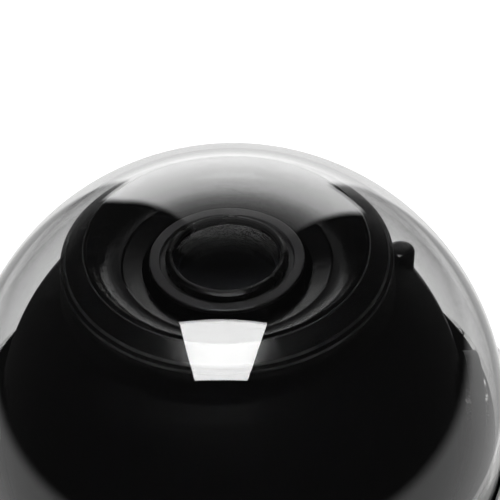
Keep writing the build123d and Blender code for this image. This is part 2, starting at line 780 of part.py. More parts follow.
def head_front_cover():
    """Upper half of the ball with the raised collar around the lens cup."""
    wall = 2.2
    seam = 0.1
    foot = COLLAR_EDGE + 0.6
    foot_z = DOME_Z + sphere_z(BALL_R, foot)
    edge_z = DOME_Z + sphere_z(COLLAR_R, COLLAR_EDGE - COLLAR_CHAMFER) - COLLAR_CHAMFER
    mouth = CUP_EDGE + 0.8
    inner_wall = COLLAR_EDGE - wall
    with BuildPart() as body:
        with BuildSketch(Plane.XZ):
            with BuildLine():
                ball_arc(BALL_R, 0, angle_at(BALL_R, foot))
                Line((foot, foot_z), (COLLAR_EDGE, edge_z))
                Line((COLLAR_EDGE, edge_z), (COLLAR_EDGE - COLLAR_CHAMFER, edge_z + COLLAR_CHAMFER))
                ball_arc(
                    COLLAR_R,
                    angle_at(COLLAR_R, COLLAR_EDGE - COLLAR_CHAMFER),
                    angle_at(COLLAR_R, mouth),
                )
                Line(
                    (mouth, DOME_Z + sphere_z(COLLAR_R, mouth)),
                    (mouth, DOME_Z + sphere_z(COLLAR_R - wall, mouth)),
                )
                ball_arc(
                    COLLAR_R - wall,
                    angle_at(COLLAR_R - wall, inner_wall),
                    angle_at(COLLAR_R - wall, mouth),
                )
                Line(
                    (inner_wall, DOME_Z + sphere_z(COLLAR_R - wall, inner_wall)),
                    (inner_wall, DOME_Z + sphere_z(BALL_IN, inner_wall)),
                )
                ball_arc(BALL_IN, 0, angle_at(BALL_IN, inner_wall))
                Line((BALL_IN, DOME_Z), (BALL_R, DOME_Z))
            make_face()
        revolve(axis=Axis.Z)
        fillet(
            body.edges().filter_by(GeomType.CIRCLE).filter_by(
                lambda e: abs(e.radius - foot) < 0.01
            ),
            1.2,
        )
        with BuildSketch(Plane.XY.offset(DOME_Z)):
            Circle(BALL_R + 1)
        extrude(amount=seam, mode=Mode.SUBTRACT)
        with BuildSketch(Plane.YZ.offset(-BALL_R - 1)):
            with Locations((0, DOME_Z)):
                Circle(4.6)
        extrude(amount=2 * BALL_R + 2, mode=Mode.SUBTRACT)
    write(body.part, "head_front_cover")


def cover_post():
    """Short round post on the front cover, beside the collar."""
    x, y, top = 43.3, 13.5, 42.6
    with BuildPart() as body:
        with BuildSketch(Plane((x, y, DOME_Z + 30.0))):
            Circle(3.6)
        extrude(amount=top - 30.0)
        fillet(body.edges().sort_by(Axis.Z)[-1], 2.8)
        with BuildSketch(Plane.XZ):
            with BuildLine():
                ball_arc(BALL_R, -90, 90)
                Line((0, DOME_Z + BALL_R), (0, DOME_Z - BALL_R))
            make_face()
        revolve(axis=Axis.Z, mode=Mode.SUBTRACT)
    write(body.part, "cover_post")


def head_rear_cover():
    """Lower half of the ball, with a lip that enters the front cover."""
    with BuildPart() as body:
        with BuildSketch(Plane.XZ):
            with BuildLine():
                ball_arc(BALL_R, -90, 0)
                Line((BALL_R, DOME_Z), (BALL_IN, DOME_Z))
                ball_arc(BALL_IN, -90, 0)
                Line((0, DOME_Z - BALL_R), (0, DOME_Z - BALL_IN))
            make_face()
            with BuildLine():
                Polyline(
                    (BALL_IN + 0.4, DOME_Z - 4.0),
                    (BALL_IN - 0.3, DOME_Z - 2.0),
                    (BALL_IN - 0.3, DOME_Z + 2.0),
                    (BALL_IN - 1.6, DOME_Z + 2.0),
                    (BALL_IN - 1.6, DOME_Z - 4.0),
                    close=True,
                )
            make_face()
        revolve(axis=Axis.Z)
        with BuildSketch(Plane.YZ.offset(-BALL_R - 1)):
            with Locations((0, DOME_Z)):
                Circle(4.6)
            with Locations((0, DOME_Z + 5)):
                Rectangle(9.2, 10)
        extrude(amount=2 * BALL_R + 2, mode=Mode.SUBTRACT)
        # bosses that take the cover screws up to the head frame
        with BuildSketch(Plane.XY.offset(DOME_Z - 55.0)):
            with Locations((COVER_SCREW_X, 0), (-COVER_SCREW_X, 0)):
                Circle(4.8)
        extrude(amount=55.0 + FRAME_LOW)
        with BuildSketch(Plane.XZ):
            with BuildLine():
                ball_arc(BALL_R, -90, 0)
                Line((BALL_R, DOME_Z), (BALL_R + 8.0, DOME_Z))
                ball_arc(BALL_R + 8.0, -90, 0)
                Line((0, DOME_Z - BALL_R), (0, DOME_Z - BALL_R - 8.0))
            make_face()
        revolve(axis=Axis.Z, mode=Mode.SUBTRACT)
        with BuildSketch(Plane.XY.offset(DOME_Z - BALL_R)):
            with Locations((COVER_SCREW_X, 0), (-COVER_SCREW_X, 0)):
                Circle(3.2)
        extrude(amount=14.0, mode=Mode.SUBTRACT)
        with BuildSketch(Plane.XY.offset(DOME_Z - 46.0)):
            with Locations((COVER_SCREW_X, 0), (-COVER_SCREW_X, 0)):
                Circle(1.6)
        extrude(amount=14.0, mode=Mode.SUBTRACT)
    write(body.part, "head_rear_cover")

    solids = []
    for x in (COVER_SCREW_X, -COVER_SCREW_X):
        plane = Plane((x, 0, DOME_Z - 46.0), z_dir=(0, 0, -1))
        solids.append(screw(1.5, 46.0 + FRAME_LOW + 2.0, 2.9, 2.2, plane))
    group(solids, "head_cover_screws")


def lens_cup():
    """Concave funnel between the collar's mouth and the barrel, with a rounded step and a skirt."""
    step_r, step_z = CUP_STEP
    hole_r, hole_z = CUP_HOLE
    lip_r = CUP_EDGE + 0.7
    lip_z = sphere_z(COLLAR_R, lip_r) - 0.5
    mouth_z = sphere_z(COLLAR_R, CUP_EDGE) - 0.1
    with BuildPart() as body:
        with BuildSketch(SECTION):
            with BuildLine():
                ThreePointArc((CUP_EDGE, mouth_z), (30.6, 53.6), (step_r + 0.5, step_z + 0.7))
                Line((step_r + 0.5, step_z + 0.7), (step_r, step_z))
                Line((step_r, step_z), (hole_r, hole_z))
                Polyline(
                    (hole_r, hole_z),
                    (hole_r, hole_z - 6.0),
                    (hole_r + 1.6, hole_z - 6.0),
                    (hole_r + 1.6, hole_z - 1.4),
                    (step_r + 0.8, step_z - 1.2),
                )
                ThreePointArc(
                    (step_r + 0.8, step_z - 1.2), (31.6, 52.4), (lip_r, lip_z - 2.8)
                )
                Polyline((lip_r, lip_z - 2.8), (lip_r, lip_z), (CUP_EDGE, mouth_z))
            make_face()
        revolve(axis=Axis.Z)
    write(body.part, "lens_cup")


def head_frame():
    """Bent-metal frame in the ball: cross plate under the camera block and two plates on the axles."""
    low = DOME_Z + FRAME_LOW
    with BuildPart() as body:
        with BuildSketch(Plane.XY.offset(low)):
            Rectangle(86.0, 26.0)
        extrude(amount=2.0)
        for x in (-43.0, 41.0):
            with BuildSketch(Plane.YZ.offset(x)):
                with Locations((0, (low + DOME_Z) / 2)):
                    Rectangle(26.0, DOME_Z - low)
                with Locations((0, DOME_Z)):
                    Circle(13.0)
                with Locations((0, DOME_Z)):
                    Circle(6.0, mode=Mode.SUBTRACT)
            extrude(amount=2.0)
        # hole for the tilt pinion's shaft
        with BuildSketch(Plane.YZ.offset(-44.0)):
            with Locations((0, DOME_Z - TILT_CENTRES)):
                Circle(3.0)
        extrude(amount=4.0, mode=Mode.SUBTRACT)
        with BuildSketch(Plane.XY.offset(low)):
            with Locations((20.0, 8.0), (-20.0, 8.0), (20.0, -8.0), (-20.0, -8.0)):
                Circle(1.6)
            with Locations((COVER_SCREW_X, 0), (-COVER_SCREW_X, 0)):
                Circle(1.6)
        extrude(amount=2.0, mode=Mode.SUBTRACT)
    write(body.part, "head_frame")

    bushes = []
    for x, side in ((-43.0, -1), (43.0, 1)):
        with BuildPart() as bush:
            with BuildSketch(Plane.YZ.offset(x + 0.6 * side)):
                with Locations((0, DOME_Z)):
                    Circle(7.6)
                    Circle(AXLE_HOLE_R, mode=Mode.SUBTRACT)
            extrude(amount=-0.6 * side)
            with BuildSketch(Plane.YZ.offset(x)):
                with Locations((0, DOME_Z)):
                    Circle(6.0 - CONTACT_GAP)
                    Circle(AXLE_HOLE_R, mode=Mode.SUBTRACT)
            extrude(amount=-2.4 * side)
        bushes.append(bush.part)
    group(bushes, "tilt_bushes")

    posts = []
    for x in (-20.0, 20.0):
        for y in (-8.0, 8.0):
            with BuildPart() as post:
                with BuildSketch(Plane((x, y, low + 2.0))):
                    Circle(2.6)
                extrude(amount=DOME_Z + BLOCK_LOW - low - 2.0)
                with BuildSketch(Plane((x, y, low - 1.6))):
                    Circle(2.6)
                extrude(amount=1.6)
                with BuildSketch(Plane((x, y, low))):
                    Circle(1.5)
                extrude(amount=2.0)
            posts.append(post.part)
    group(posts, "block_posts")


def tilt_motor():
    """Small motor on the left side plate, and the pinion on its shaft."""
    axis_z = DOME_Z - TILT_CENTRES
    with BuildPart() as body:
        with BuildSketch(Plane.YZ.offset(-41.0)):
            with Locations((0, axis_z)):
                Circle(9.0)
        extrude(amount=13.0)
        with BuildSketch(Plane.YZ.offset(-43.0)):
            with Locations((0, axis_z)):
                Circle(2.9)
        extrude(amount=2.0)
        with BuildSketch(Plane.YZ.offset(-43.0)):
            with Locations((0, axis_z)):
                Circle(1.05)
        extrude(amount=12.0, mode=Mode.SUBTRACT)
    write(body.part, "tilt_motor")

    with BuildPart() as pinion:
        with BuildSketch(Plane.XY.offset(-0.3)):
            add(gear_outline(TILT_PINION_TEETH, TILT_MODULE, 180 / TILT_PINION_TEETH))
        extrude(amount=TILT_GEAR_W + 0.6)
        with BuildSketch():
            Circle(1.0)
        extrude(amount=15.0)
    placed = TILT_PLACE * Pos(TILT_CENTRES, 0, 0) * pinion.part
    write(placed, "tilt_pinion")


# ---------------------------------------------------------------- camera block
def camera_block():
    """Square block with a round bore for the lens groups."""
    with BuildPart() as body:
        with BuildSketch(Plane.XY.offset(DOME_Z + BLOCK_LOW)):
            RectangleRounded(BLOCK_SIZE, BLOCK_SIZE, 4.0)
        extrude(amount=BLOCK_TOP - BLOCK_LOW)
        with BuildSketch(Plane.XY.offset(DOME_Z + BORE_LOW)):
            Circle(BORE_R)
        extrude(amount=BLOCK_TOP - BORE_LOW, mode=Mode.SUBTRACT)
        with BuildSketch(Plane.XY.offset(DOME_Z + BLOCK_LOW)):
            Rectangle(13.0, 11.0)
        extrude(amount=BORE_LOW - BLOCK_LOW, mode=Mode.SUBTRACT)
        chamfer(body.edges().filter_by(GeomType.LINE).group_by(Axis.Z)[-1], 1.0)
    write(body.part, "camera_block_body")

    rods = []
    for x in (-ROD_X, ROD_X):
        with BuildPart() as rod:
            with BuildSketch(Plane((x, 0, DOME_Z + BORE_LOW))):
                Circle(ROD_R)
            extrude(amount=BLOCK_TOP - BORE_LOW)
        rods.append(rod.part)
    group(rods, "lens_guide_rods")

    with BuildPart() as board:
        with BuildSketch(Plane.XY.offset(DOME_Z + BLOCK_LOW - 1.4)):
            Rectangle(34.0, 34.0)
            with Locations((-20.0, 8.0), (-20.0, -8.0), (20.0, 8.0), (20.0, -8.0)):
                Circle(3.6, mode=Mode.SUBTRACT)
        extrude(amount=1.4)
    write(board.part, "sensor_board")

    with BuildPart() as sensor:
        with BuildSketch(Plane.XY.offset(DOME_Z + BLOCK_LOW)):
            Rectangle(11.0, 9.0)
        extrude(amount=1.4)
    write(sensor.part, "image_sensor")


def lens_cell(z0, z1, r_out, r_glass):
    """Ring-shaped lens cell with lugs that run on the guide rods."""
    with BuildPart() as cell:
        with BuildSketch(Plane.XY.offset(DOME_Z + z0)):
            Circle(r_out)
            Rectangle(2 * (ROD_X + 2.2), 4.4)
            Circle(r_glass, mode=Mode.SUBTRACT)
            with Locations((-ROD_X, 0), (ROD_X, 0)):
                Circle(ROD_HOLE_R, mode=Mode.SUBTRACT)
        extrude(amount=z1 - z0)
    return cell.part


def lens_face(r, edge, bulge):
    """Adds the arc of a spherical lens face from the axis to its edge; a negative bulge points down."""
    radius = (r**2 + bulge**2) / (2 * abs(bulge))
    side = math.copysign(1.0, bulge)
    centre = edge + bulge - side * radius
    half = math.asin(r / radius) / 2
    middle = (radius * math.sin(half), centre + side * radius * math.cos(half))
    return ThreePointArc((0, edge + bulge), middle, (r, edge))


def lens_glass(z0, z1, r, bulge_top, bulge_low):
    """Lens element: a disc of radius r between two heights, with spherical faces that bulge out."""
    with BuildPart() as glass:
        with BuildSketch(SECTION):
            with BuildLine():
                Line((0, z0 - bulge_low), (0, z1 + bulge_top))
                lens_face(r, z1, bulge_top)
                Line((r, z1), (r, z0))
                lens_face(r, z0, -bulge_low)
            make_face()
        revolve(axis=Axis.Z)
    return glass.part


def lens_groups():
    """Moving focus and zoom groups, and the filter carriage in front of the sensor."""
    write(lens_cell(0.0, 8.0, 12.6, 10.0), "zoom_group")
    write(lens_glass(2.0, 5.0, 10.0 - CONTACT_GAP, 1.5, 0.8), "zoom_lens")
    write(lens_cell(-12.0, -7.0, 12.0, 9.0), "focus_group")
    write(lens_glass(-11.0, -9.0, 9.0 - CONTACT_GAP, 0.9, 0.6), "focus_lens")

    with BuildPart() as carriage:
        with BuildSketch(Plane.XY.offset(DOME_Z - 20.6)):
            with Locations((0, -5.0)):
                Rectangle(14.0, 21.0)
                with GridLocations(1, 10.0, 1, 2):
                    Rectangle(11.0, 8.6, mode=Mode.SUBTRACT)
        extrude(amount=1.4)
    write(carriage.part, "ir_filter_carriage")
    panes = []
    for y in (0.0, -10.0):
        with BuildPart() as pane:
            with BuildSketch(Plane.XY.offset(DOME_Z - 20.3)):
                with Locations((0, y)):
                    Rectangle(11.0 - 2 * CONTACT_GAP, 8.6 - 2 * CONTACT_GAP)
            extrude(amount=0.6)
        panes.append(pane.part)
    group(panes, "ir_filter_glass")


def lens_front():
    """Barrel, pale front ring, retaining ring and the front elements."""
    with BuildPart() as barrel:
        with BuildSketch(SECTION):
            ring_profile(16.9, BARREL_R, BLOCK_TOP, 52.0)
            ring_profile(13.6, 20.2, BLOCK_TOP, BLOCK_TOP + 2.0)
            ring_profile(13.1, 17.0, BLOCK_TOP + 2.0, BLOCK_TOP + 8.8)
        revolve(axis=Axis.Z)
    write(barrel.part, "lens_barrel")

    with BuildPart() as front:
        with BuildSketch(SECTION):
            with BuildLine():
                Polyline(
                    (15.0, 47.0), (16.85, 47.0), (16.85, 52.0), (19.0, 52.0), (19.0, 53.0),
                    (18.7, 53.3), (16.5, 53.3), (16.3, 53.1), (16.3, 52.4), (15.0, 52.4),
                    close=True,
                )
            make_face()
        revolve(axis=Axis.Z)
    write(front.part, "lens_front_ring")

    with BuildPart() as retainer:
        with BuildSketch(SECTION):
            with BuildLine():
                Polyline(
                    (11.6, 48.6), (14.95, 48.6), (14.95, 54.0), (14.6, 54.3), (13.3, 54.6),
                    (12.95, 54.3), (12.95, 50.4), (11.6, 50.4), close=True,
                )
            make_face()
        revolve(axis=Axis.Z)
    write(retainer.part, "lens_retaining_ring")

    write(lens_glass(51.2, 53.8, 12.9, 1.5, 0.7), "front_lens_glass")
    write(lens_glass(42.0, 44.6, 13.05, 1.6, 0.8), "second_lens")


# ---------------------------------------------------------------- build
os.makedirs("parts", exist_ok=True)

mounting_plate()
plate_lock_screws()
base_housing()
cable_grommet()
rim_parts()
clear_dome()
inner_liner()
chassis()
pan_bearing()
pan_motor()
main_board()
indicator_and_button()
slip_ring()
home_sensor()
turntable_screws = turntable()
yoke()
tilt_axles()
head_front_cover()
cover_post()
head_rear_cover()
lens_cup()
head_frame()
tilt_motor()
camera_block()
lens_groups()
lens_front()
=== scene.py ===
"""Looks of the indoor PTZ dome camera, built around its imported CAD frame.

Profiles are points of (radius, height above the mounting face) in millimetres, some with a rounding
as a third number. SCALE turns them into metres.
"""

import json
import math

import bmesh
import bpy
from mathutils import Matrix, Vector

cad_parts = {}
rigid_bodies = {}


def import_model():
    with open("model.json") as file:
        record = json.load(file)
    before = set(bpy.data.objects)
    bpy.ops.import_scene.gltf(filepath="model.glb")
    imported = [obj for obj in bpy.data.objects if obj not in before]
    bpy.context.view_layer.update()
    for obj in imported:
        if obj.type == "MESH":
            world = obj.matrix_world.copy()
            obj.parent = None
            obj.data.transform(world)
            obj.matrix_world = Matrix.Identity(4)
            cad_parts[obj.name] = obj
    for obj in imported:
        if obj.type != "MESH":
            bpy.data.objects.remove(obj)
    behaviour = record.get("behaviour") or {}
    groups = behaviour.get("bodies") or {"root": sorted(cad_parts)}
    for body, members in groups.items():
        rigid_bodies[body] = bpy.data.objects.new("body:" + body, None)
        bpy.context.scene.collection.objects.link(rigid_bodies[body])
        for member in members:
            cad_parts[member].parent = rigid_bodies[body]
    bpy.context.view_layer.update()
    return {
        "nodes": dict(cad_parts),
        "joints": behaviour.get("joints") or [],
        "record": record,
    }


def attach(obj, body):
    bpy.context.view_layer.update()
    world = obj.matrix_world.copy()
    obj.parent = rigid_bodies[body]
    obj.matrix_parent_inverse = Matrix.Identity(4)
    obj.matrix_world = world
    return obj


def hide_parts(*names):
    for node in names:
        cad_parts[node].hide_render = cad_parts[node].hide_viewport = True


for leftover in list(bpy.data.objects):
    bpy.data.objects.remove(leftover)

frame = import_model()

SCALE = 0.001
NODES = frame["nodes"]
RECORD = frame["record"]
BODY_OF = {n: b for b, ns in RECORD["behaviour"]["bodies"].items() for n in ns}
SLOT_OF = {s["node"]: s["material_slot"] for s in RECORD["subparts"]}
TILT = next(j for j in frame["joints"] if j["name"] == "tilt")
TILT_Z = TILT["pos_m"][2] / SCALE  # height of the dome's centre

# driving dimensions in mm: radii are from the pan axis, or of spheres about the tilt centre
DOME_OUT, DOME_IN = 70.0, 67.9
BALL_OUT, BALL_IN = 60.0, 57.8
COLLAR_R = 66.6  # sphere of the collar's top and of the lens cup's mouth
COLLAR_EDGE, COLLAR_CHAMFER, COLLAR_MOUTH = 40.3, 1.2, 34.3
PLATE_R, PLATE_TOP = 80.0, 3.0
FLOOR_TOP = 6.0  # housing floor, inside
HOUSING_LOW_R, HOUSING_TOP_R = 84.0, 79.0
RIM_Z, RIM_IN = 98.0, 69.6
FLANGE_Z, FLANGE_TOP, FLANGE_R = 99.0, 101.5, 77.2
RING_TOP, SCREW_SEAT = 104.5, 102.8
RING_SCREW_R = 74.6  # pitch circles
BOLT_R, LOCK_R, STANDOFF_R = 60.0, 66.0, 72.0
RING_SCREW_TURN, LOCK_TURN, STANDOFF_TURN = 30, 22, 45  # first one's angle in degrees
BACK_HOLES_Z = 20.0  # reset button and light pipe in the housing's back
FLANGE_BORE = FLANGE_R + 0.2  # the ring's bore around the dome's flange
BARREL_IN, BARREL_OUT, BARREL_TOP = 16.9, 18.9, 52.0  # the top is above the tilt centre
CELL_R, SEAT_R = 13.1, 12.95  # bores that hold the second lens and the front glass
FRONT_BORE = 15.0  # front ring's bore, around the retaining ring
LOCK_HOLE, BOLT_HOLE, RING_SCREW_HOLE, STANDOFF_HOLE = 2.0, 5.0, 1.3, 2.0  # radii in the housing and liner
FINE = 256  # segments of the large turned pieces


# ---------------------------------------------------------------- mesh helpers
def rounded(points, steps=5):
    """Outline with corners rounded: each point is (x, y) or (x, y, rounding)."""
    out = []
    for i, point in enumerate(points):
        corner = Vector(point[:2])
        radius = point[2] if len(point) > 2 else 0.0
        before = Vector(points[i - 1][:2]) - corner
        after = Vector(points[(i + 1) % len(points)][:2]) - corner
        if radius <= 0 or before.length < 1e-6 or after.length < 1e-6:
            out.append(tuple(corner))
            continue
        half = before.angle(after) / 2
        cut = min(radius / math.tan(half), 0.49 * before.length, 0.49 * after.length)
        radius = cut * math.tan(half)
        a, b = before.normalized(), after.normalized()
        centre = corner + (a + b).normalized() * (radius / math.sin(half))
        start, end = corner + a * cut - centre, corner + b * cut - centre
        first = math.atan2(start.y, start.x)
        sweep = math.atan2(end.y, end.x) - first
        sweep = (sweep + math.pi) % (2 * math.pi) - math.pi
        for k in range(steps + 1):
            angle = first + sweep * k / steps
            out.append((centre.x + radius * math.cos(angle), centre.y + radius * math.sin(angle)))
    return out


def sphere_arc(radius, r0, r1, steps):
    """Profile points on a sphere about the tilt centre, from axis distance r0 to r1, upper half."""
    a0, a1 = math.acos(min(1, r0 / radius)), math.acos(min(1, r1 / radius))
    angles = [a0 + (a1 - a0) * k / steps for k in range(steps + 1)]
    return [(radius * math.cos(a), TILT_Z + radius * math.sin(a)) for a in angles]


def on_sphere(radius, r):
    """Height of the point on a sphere about the tilt centre at distance r from the axis."""
    return TILT_Z + math.sqrt(radius**2 - r**2)


def lathe(name, profile, segments, x=0.0, y=0.0):
    """Closed profile of (radius, height) in mm turned about a vertical axis at (x, y)."""
    bm = bmesh.new()
    turns = [2 * math.pi * k / segments for k in range(segments)]
    rings = []
    for r, z in profile:
        if r < 1e-5:
            rings.append([bm.verts.new((x * SCALE, y * SCALE, z * SCALE))] * segments)
        else:
            rings.append([
                bm.verts.new(((x + r * math.cos(t)) * SCALE, (y + r * math.sin(t)) * SCALE, z * SCALE))
                for t in turns
            ])
    for lower, upper in zip(rings, rings[1:] + rings[:1]):
        for k in range(segments):
            j = (k + 1) % segments
            corners = [lower[k], lower[j], upper[j], upper[k]]
            face = [v for i, v in enumerate(corners) if v not in corners[:i]]
            if len(face) > 2:
                bm.faces.new(face)
    return to_object(name, bm)


def prism(name, outline, z0, z1):
    """Outline of (x, y) in mm extruded from z0 to z1."""
    bm = bmesh.new()
    low = [bm.verts.new((px * SCALE, py * SCALE, z0 * SCALE)) for px, py in outline]
    high = [bm.verts.new((px * SCALE, py * SCALE, z1 * SCALE)) for px, py in outline]
    bm.faces.new(low)
    bm.faces.new(high)
    for k in range(len(outline)):
        j = (k + 1) % len(outline)
        bm.faces.new([low[k], low[j], high[j], high[k]])
    return to_object(name, bm)


def circle(radius, x=0.0, y=0.0, count=64, turn=0.0):
    """Points of a circle or regular polygon in mm."""
    angles = [turn + 2 * math.pi * k / count for k in range(count)]
    return [(x + radius * math.cos(a), y + radius * math.sin(a)) for a in angles]


def oblong(width, height, rounding, x, y):
    """Rectangle with rounded corners and its centre at (x, y), in mm."""
    w, h = width / 2, height / 2
    corners = [(-w, -h), (w, -h), (w, h), (-w, h)]
    return rounded([(x + px, y + py, rounding) for px, py in corners])


def to_object(name, bm):
    """Closes a bmesh into a linked object with outward normals."""
    bmesh.ops.recalc_face_normals(bm, faces=bm.faces)
    mesh = bpy.data.meshes.new(name)
    bm.to_mesh(mesh)
    bm.free()
    obj = bpy.data.objects.new(name, mesh)
    bpy.context.scene.collection.objects.link(obj)
    return obj


def turned(obj, matrix):
    """Applies a matrix to an object's mesh."""
    obj.data.transform(matrix)
    return obj


def along_y(obj, y):
    """Lays a piece drawn in XY, extruded along Z, so that it faces +Y, its Z measured from y."""
    place = Matrix.Translation((0, y * SCALE, 0)) @ Matrix.Rotation(-math.pi / 2, 4, "X")
    return turned(obj, place @ Matrix.Scale(-1, 4, (0, 1, 0)))


def bake(obj):
    """Replaces an object's mesh by its mesh with all modifiers applied."""
    graph = bpy.context.evaluated_depsgraph_get()
    mesh = bpy.data.meshes.new_from_object(obj.evaluated_get(graph))
    obj.modifiers.clear()
    old, obj.data = obj.data, mesh
    bpy.data.meshes.remove(old)
    return obj


def combine(obj, others, operation="DIFFERENCE"):
    """Boolean of an object with others, which are then removed."""
    for other in others:
        bm = bmesh.new()
        bm.from_mesh(other.data)
        bmesh.ops.recalc_face_normals(bm, faces=bm.faces)
        bm.to_mesh(other.data)
        bm.free()
        cut = obj.modifiers.new("cut", "BOOLEAN")
        cut.operation, cut.solver, cut.object = operation, "EXACT", other
        bake(obj)
        bpy.data.objects.remove(other)
    return obj


def joined(name, objects):
    """Several objects as one mesh."""
    bm = bmesh.new()
    for obj in objects:
        bm.from_mesh(obj.data)
        bpy.data.objects.remove(obj)
    return to_object(name, bm)


def soften(obj, sharp=32.0):
    """Gives an object smooth shading that stops at edges sharper than an angle in degrees."""
    obj.data.polygons.foreach_set("use_smooth", [True] * len(obj.data.polygons))
    obj.data.set_sharp_from_angle(angle=math.radians(sharp))
    normals = obj.modifiers.new("normals", "WEIGHTED_NORMAL")
    normals.keep_sharp = True
    return obj


# ---------------------------------------------------------------- shader helpers
class Shader:
    """A material's node tree with one Principled shader."""

    def __init__(self, name):
        self.material = bpy.data.materials.new(name)
        self.material.use_nodes = True
        self.nodes = self.material.node_tree.nodes
        self.nodes.clear()
        self.links = self.material.node_tree.links
        self.out = self.nodes.new("ShaderNodeOutputMaterial")
        self.bsdf = self.nodes.new("ShaderNodeBsdfPrincipled")
        self.links.new(self.bsdf.outputs[0], self.out.inputs["Surface"])
        self.coords = self.nodes.new("ShaderNodeTexCoord").outputs["Object"]
        self.bump = None

    def set(self, **values):
        for key, value in values.items():
            self.bsdf.inputs[key.replace("_", " ")].default_value = value
        return self

    def stretched(self, scale):
        """Object coordinates in metres, stretched by three factors."""
        mapping = self.nodes.new("ShaderNodeMapping")
        mapping.inputs["Scale"].default_value = scale
        self.links.new(self.coords, mapping.inputs["Vector"])
        return mapping.outputs[0]

    def noise(self, size, detail, rough=0.5, stretch=None):
        """Noise whose features are about size millimetres across."""
        node = self.nodes.new("ShaderNodeTexNoise")
        node.inputs["Scale"].default_value = 1.0 / (size * SCALE)
        node.inputs["Detail"].default_value = detail
        node.inputs["Roughness"].default_value = rough
        self.links.new(self.stretched(stretch) if stretch else self.coords, node.inputs["Vector"])
        return node.outputs[0]

    def voronoi(self, size):
        """Distance to scattered points about size millimetres apart."""
        node = self.nodes.new("ShaderNodeTexVoronoi")
        node.inputs["Scale"].default_value = 1.0 / (size * SCALE)
        self.links.new(self.coords, node.inputs["Vector"])
        return node.outputs[0]

    def ranged(self, value, low, high, to_low, to_high):
        node = self.nodes.new("ShaderNodeMapRange")
        for key, number in zip(("From Min", "From Max", "To Min", "To Max"), (low, high, to_low, to_high)):
            node.inputs[key].default_value = number
        self.links.new(value, node.inputs["Value"])
        return node.outputs[0]

    def math(self, operation, a, b):
        node = self.nodes.new("ShaderNodeMath")
        node.operation = operation
        for socket, value in zip(node.inputs, (a, b)):
            if isinstance(value, (int, float)):
                socket.default_value = value
            else:
                self.links.new(value, socket)
        return node.outputs[0]

    def mix(self, factor, a, b):
        """Colour mix; a and b are colours or sockets."""
        node = self.nodes.new("ShaderNodeMix")
        node.data_type = "RGBA"
        self.links.new(factor, node.inputs["Factor"])
        for socket, value in ((node.inputs[6], a), (node.inputs[7], b)):
            if isinstance(value, tuple):
                socket.default_value = (*value, 1.0)
            else:
                self.links.new(value, socket)
        return node.outputs[2]

    def colour(self, socket):
        self.links.new(socket, self.bsdf.inputs["Base Color"])
        return self

    def roughness(self, socket):
        self.links.new(socket, self.bsdf.inputs["Roughness"])
        return self

    def relief(self, height, depth):
        """Adds bump of a depth in millimetres to what is there already."""
        node = self.nodes.new("ShaderNodeBump")
        node.inputs["Strength"].default_value = 1.0
        node.inputs["Distance"].default_value = depth * SCALE
        self.links.new(height, node.inputs["Height"])
        if self.bump:
            self.links.new(self.bump, node.inputs["Normal"])
        self.bump = node.outputs[0]
        self.links.new(self.bump, self.bsdf.inputs["Normal"])
        return self


def plastic(name, colour, vary, rough, rough_vary, grain, depth, dust=0.0, **sockets):
    """Moulded plastic or paint: slow drift of colour and gloss, fine grain and a little dust on top.

    grain is the relief's size and depth its height, in mm.
    """
    s = Shader(name).set(**sockets)
    drift = s.noise(22.0, 3.0)
    darker = tuple(c * (1 - vary) for c in colour)
    paint = s.mix(s.ranged(drift, 0.35, 0.65, 0.0, 1.0), darker, colour)
    gloss = s.ranged(s.noise(6.0, 4.0, 0.6), 0.3, 0.7, rough - rough_vary, rough + rough_vary)
    if dust:
        up = s.nodes.new("ShaderNodeSeparateXYZ")
        s.links.new(s.nodes.new("ShaderNodeNewGeometry").outputs["Normal"], up.inputs[0])
        specks = s.ranged(s.voronoi(2.6), 0.05, 0.03, 0.0, dust)
        settled = s.math("MULTIPLY", specks, s.ranged(up.outputs[2], 0.3, 0.9, 0.0, 1.0))
        paint = s.mix(settled, paint, (0.55, 0.54, 0.52))
        gloss = s.math("ADD", gloss, s.math("MULTIPLY", settled, 0.4))
    s.colour(paint).roughness(gloss)
    s.relief(s.noise(grain, 2.0), depth)
    return s


def painted_edge_highlights(s, rings, paint):
    """Painted highlight lines, a paler colour along edges: rings are (radius, height, reach) in mm about the
    dome's axis.
    """
    split = s.nodes.new("ShaderNodeSeparateXYZ")
    s.links.new(s.coords, split.inputs[0])
    x, y, z = split.outputs
    squares = s.math("ADD", s.math("MULTIPLY", x, x), s.math("MULTIPLY", y, y))
    radius = s.math("SQRT", squares, 0.0)
    edge = None
    for r, height, reach in rings:
        across = s.math("SUBTRACT", radius, r * SCALE)
        along = s.math("SUBTRACT", z, height * SCALE)
        squares = s.math("ADD", s.math("MULTIPLY", across, across), s.math("MULTIPLY", along, along))
        apart = s.math("SQRT", squares, 0.0)
        near = s.ranged(apart, reach * SCALE, 0.4 * reach * SCALE, 0.0, 1.0)
        edge = s.math("MAXIMUM", edge, near) if edge else near
    # painted highlight: the paler colour near each edge ring, uneven along its length
    patchy_highlight = s.math("MULTIPLY", edge, s.ranged(s.noise(5.0, 3.0), 0.3, 0.6, 0.6, 1.0))
    base = s.bsdf.inputs["Base Color"].links[0].from_socket
    s.colour(s.mix(patchy_highlight, base, paint))


def metal(name, colour, rough, rough_vary, stretch, scratch=0.6, depth=0.002):
    """Metal with drawn or ground lines along an axis, and slight tarnish.

    scratch is the size of the lines and depth their height, in mm.
    """
    s = Shader(name).set(Metallic=1.0)
    tarnish = 0.15  # share of the colour lost in the stains
    lines = s.noise(scratch, 3.0, 0.6, stretch)
    stain = s.noise(14.0, 4.0, 0.6)
    dull = tuple(c * (1 - tarnish) for c in colour)
    s.colour(s.mix(s.ranged(stain, 0.4, 0.62, 0.0, 1.0), colour, dull))
    mixed = s.math("ADD", s.math("MULTIPLY", lines, 0.6), s.math("MULTIPLY", stain, 0.4))
    s.roughness(s.ranged(mixed, 0.3, 0.7, rough - rough_vary, rough + rough_vary))
    s.relief(lines, depth)
    return s


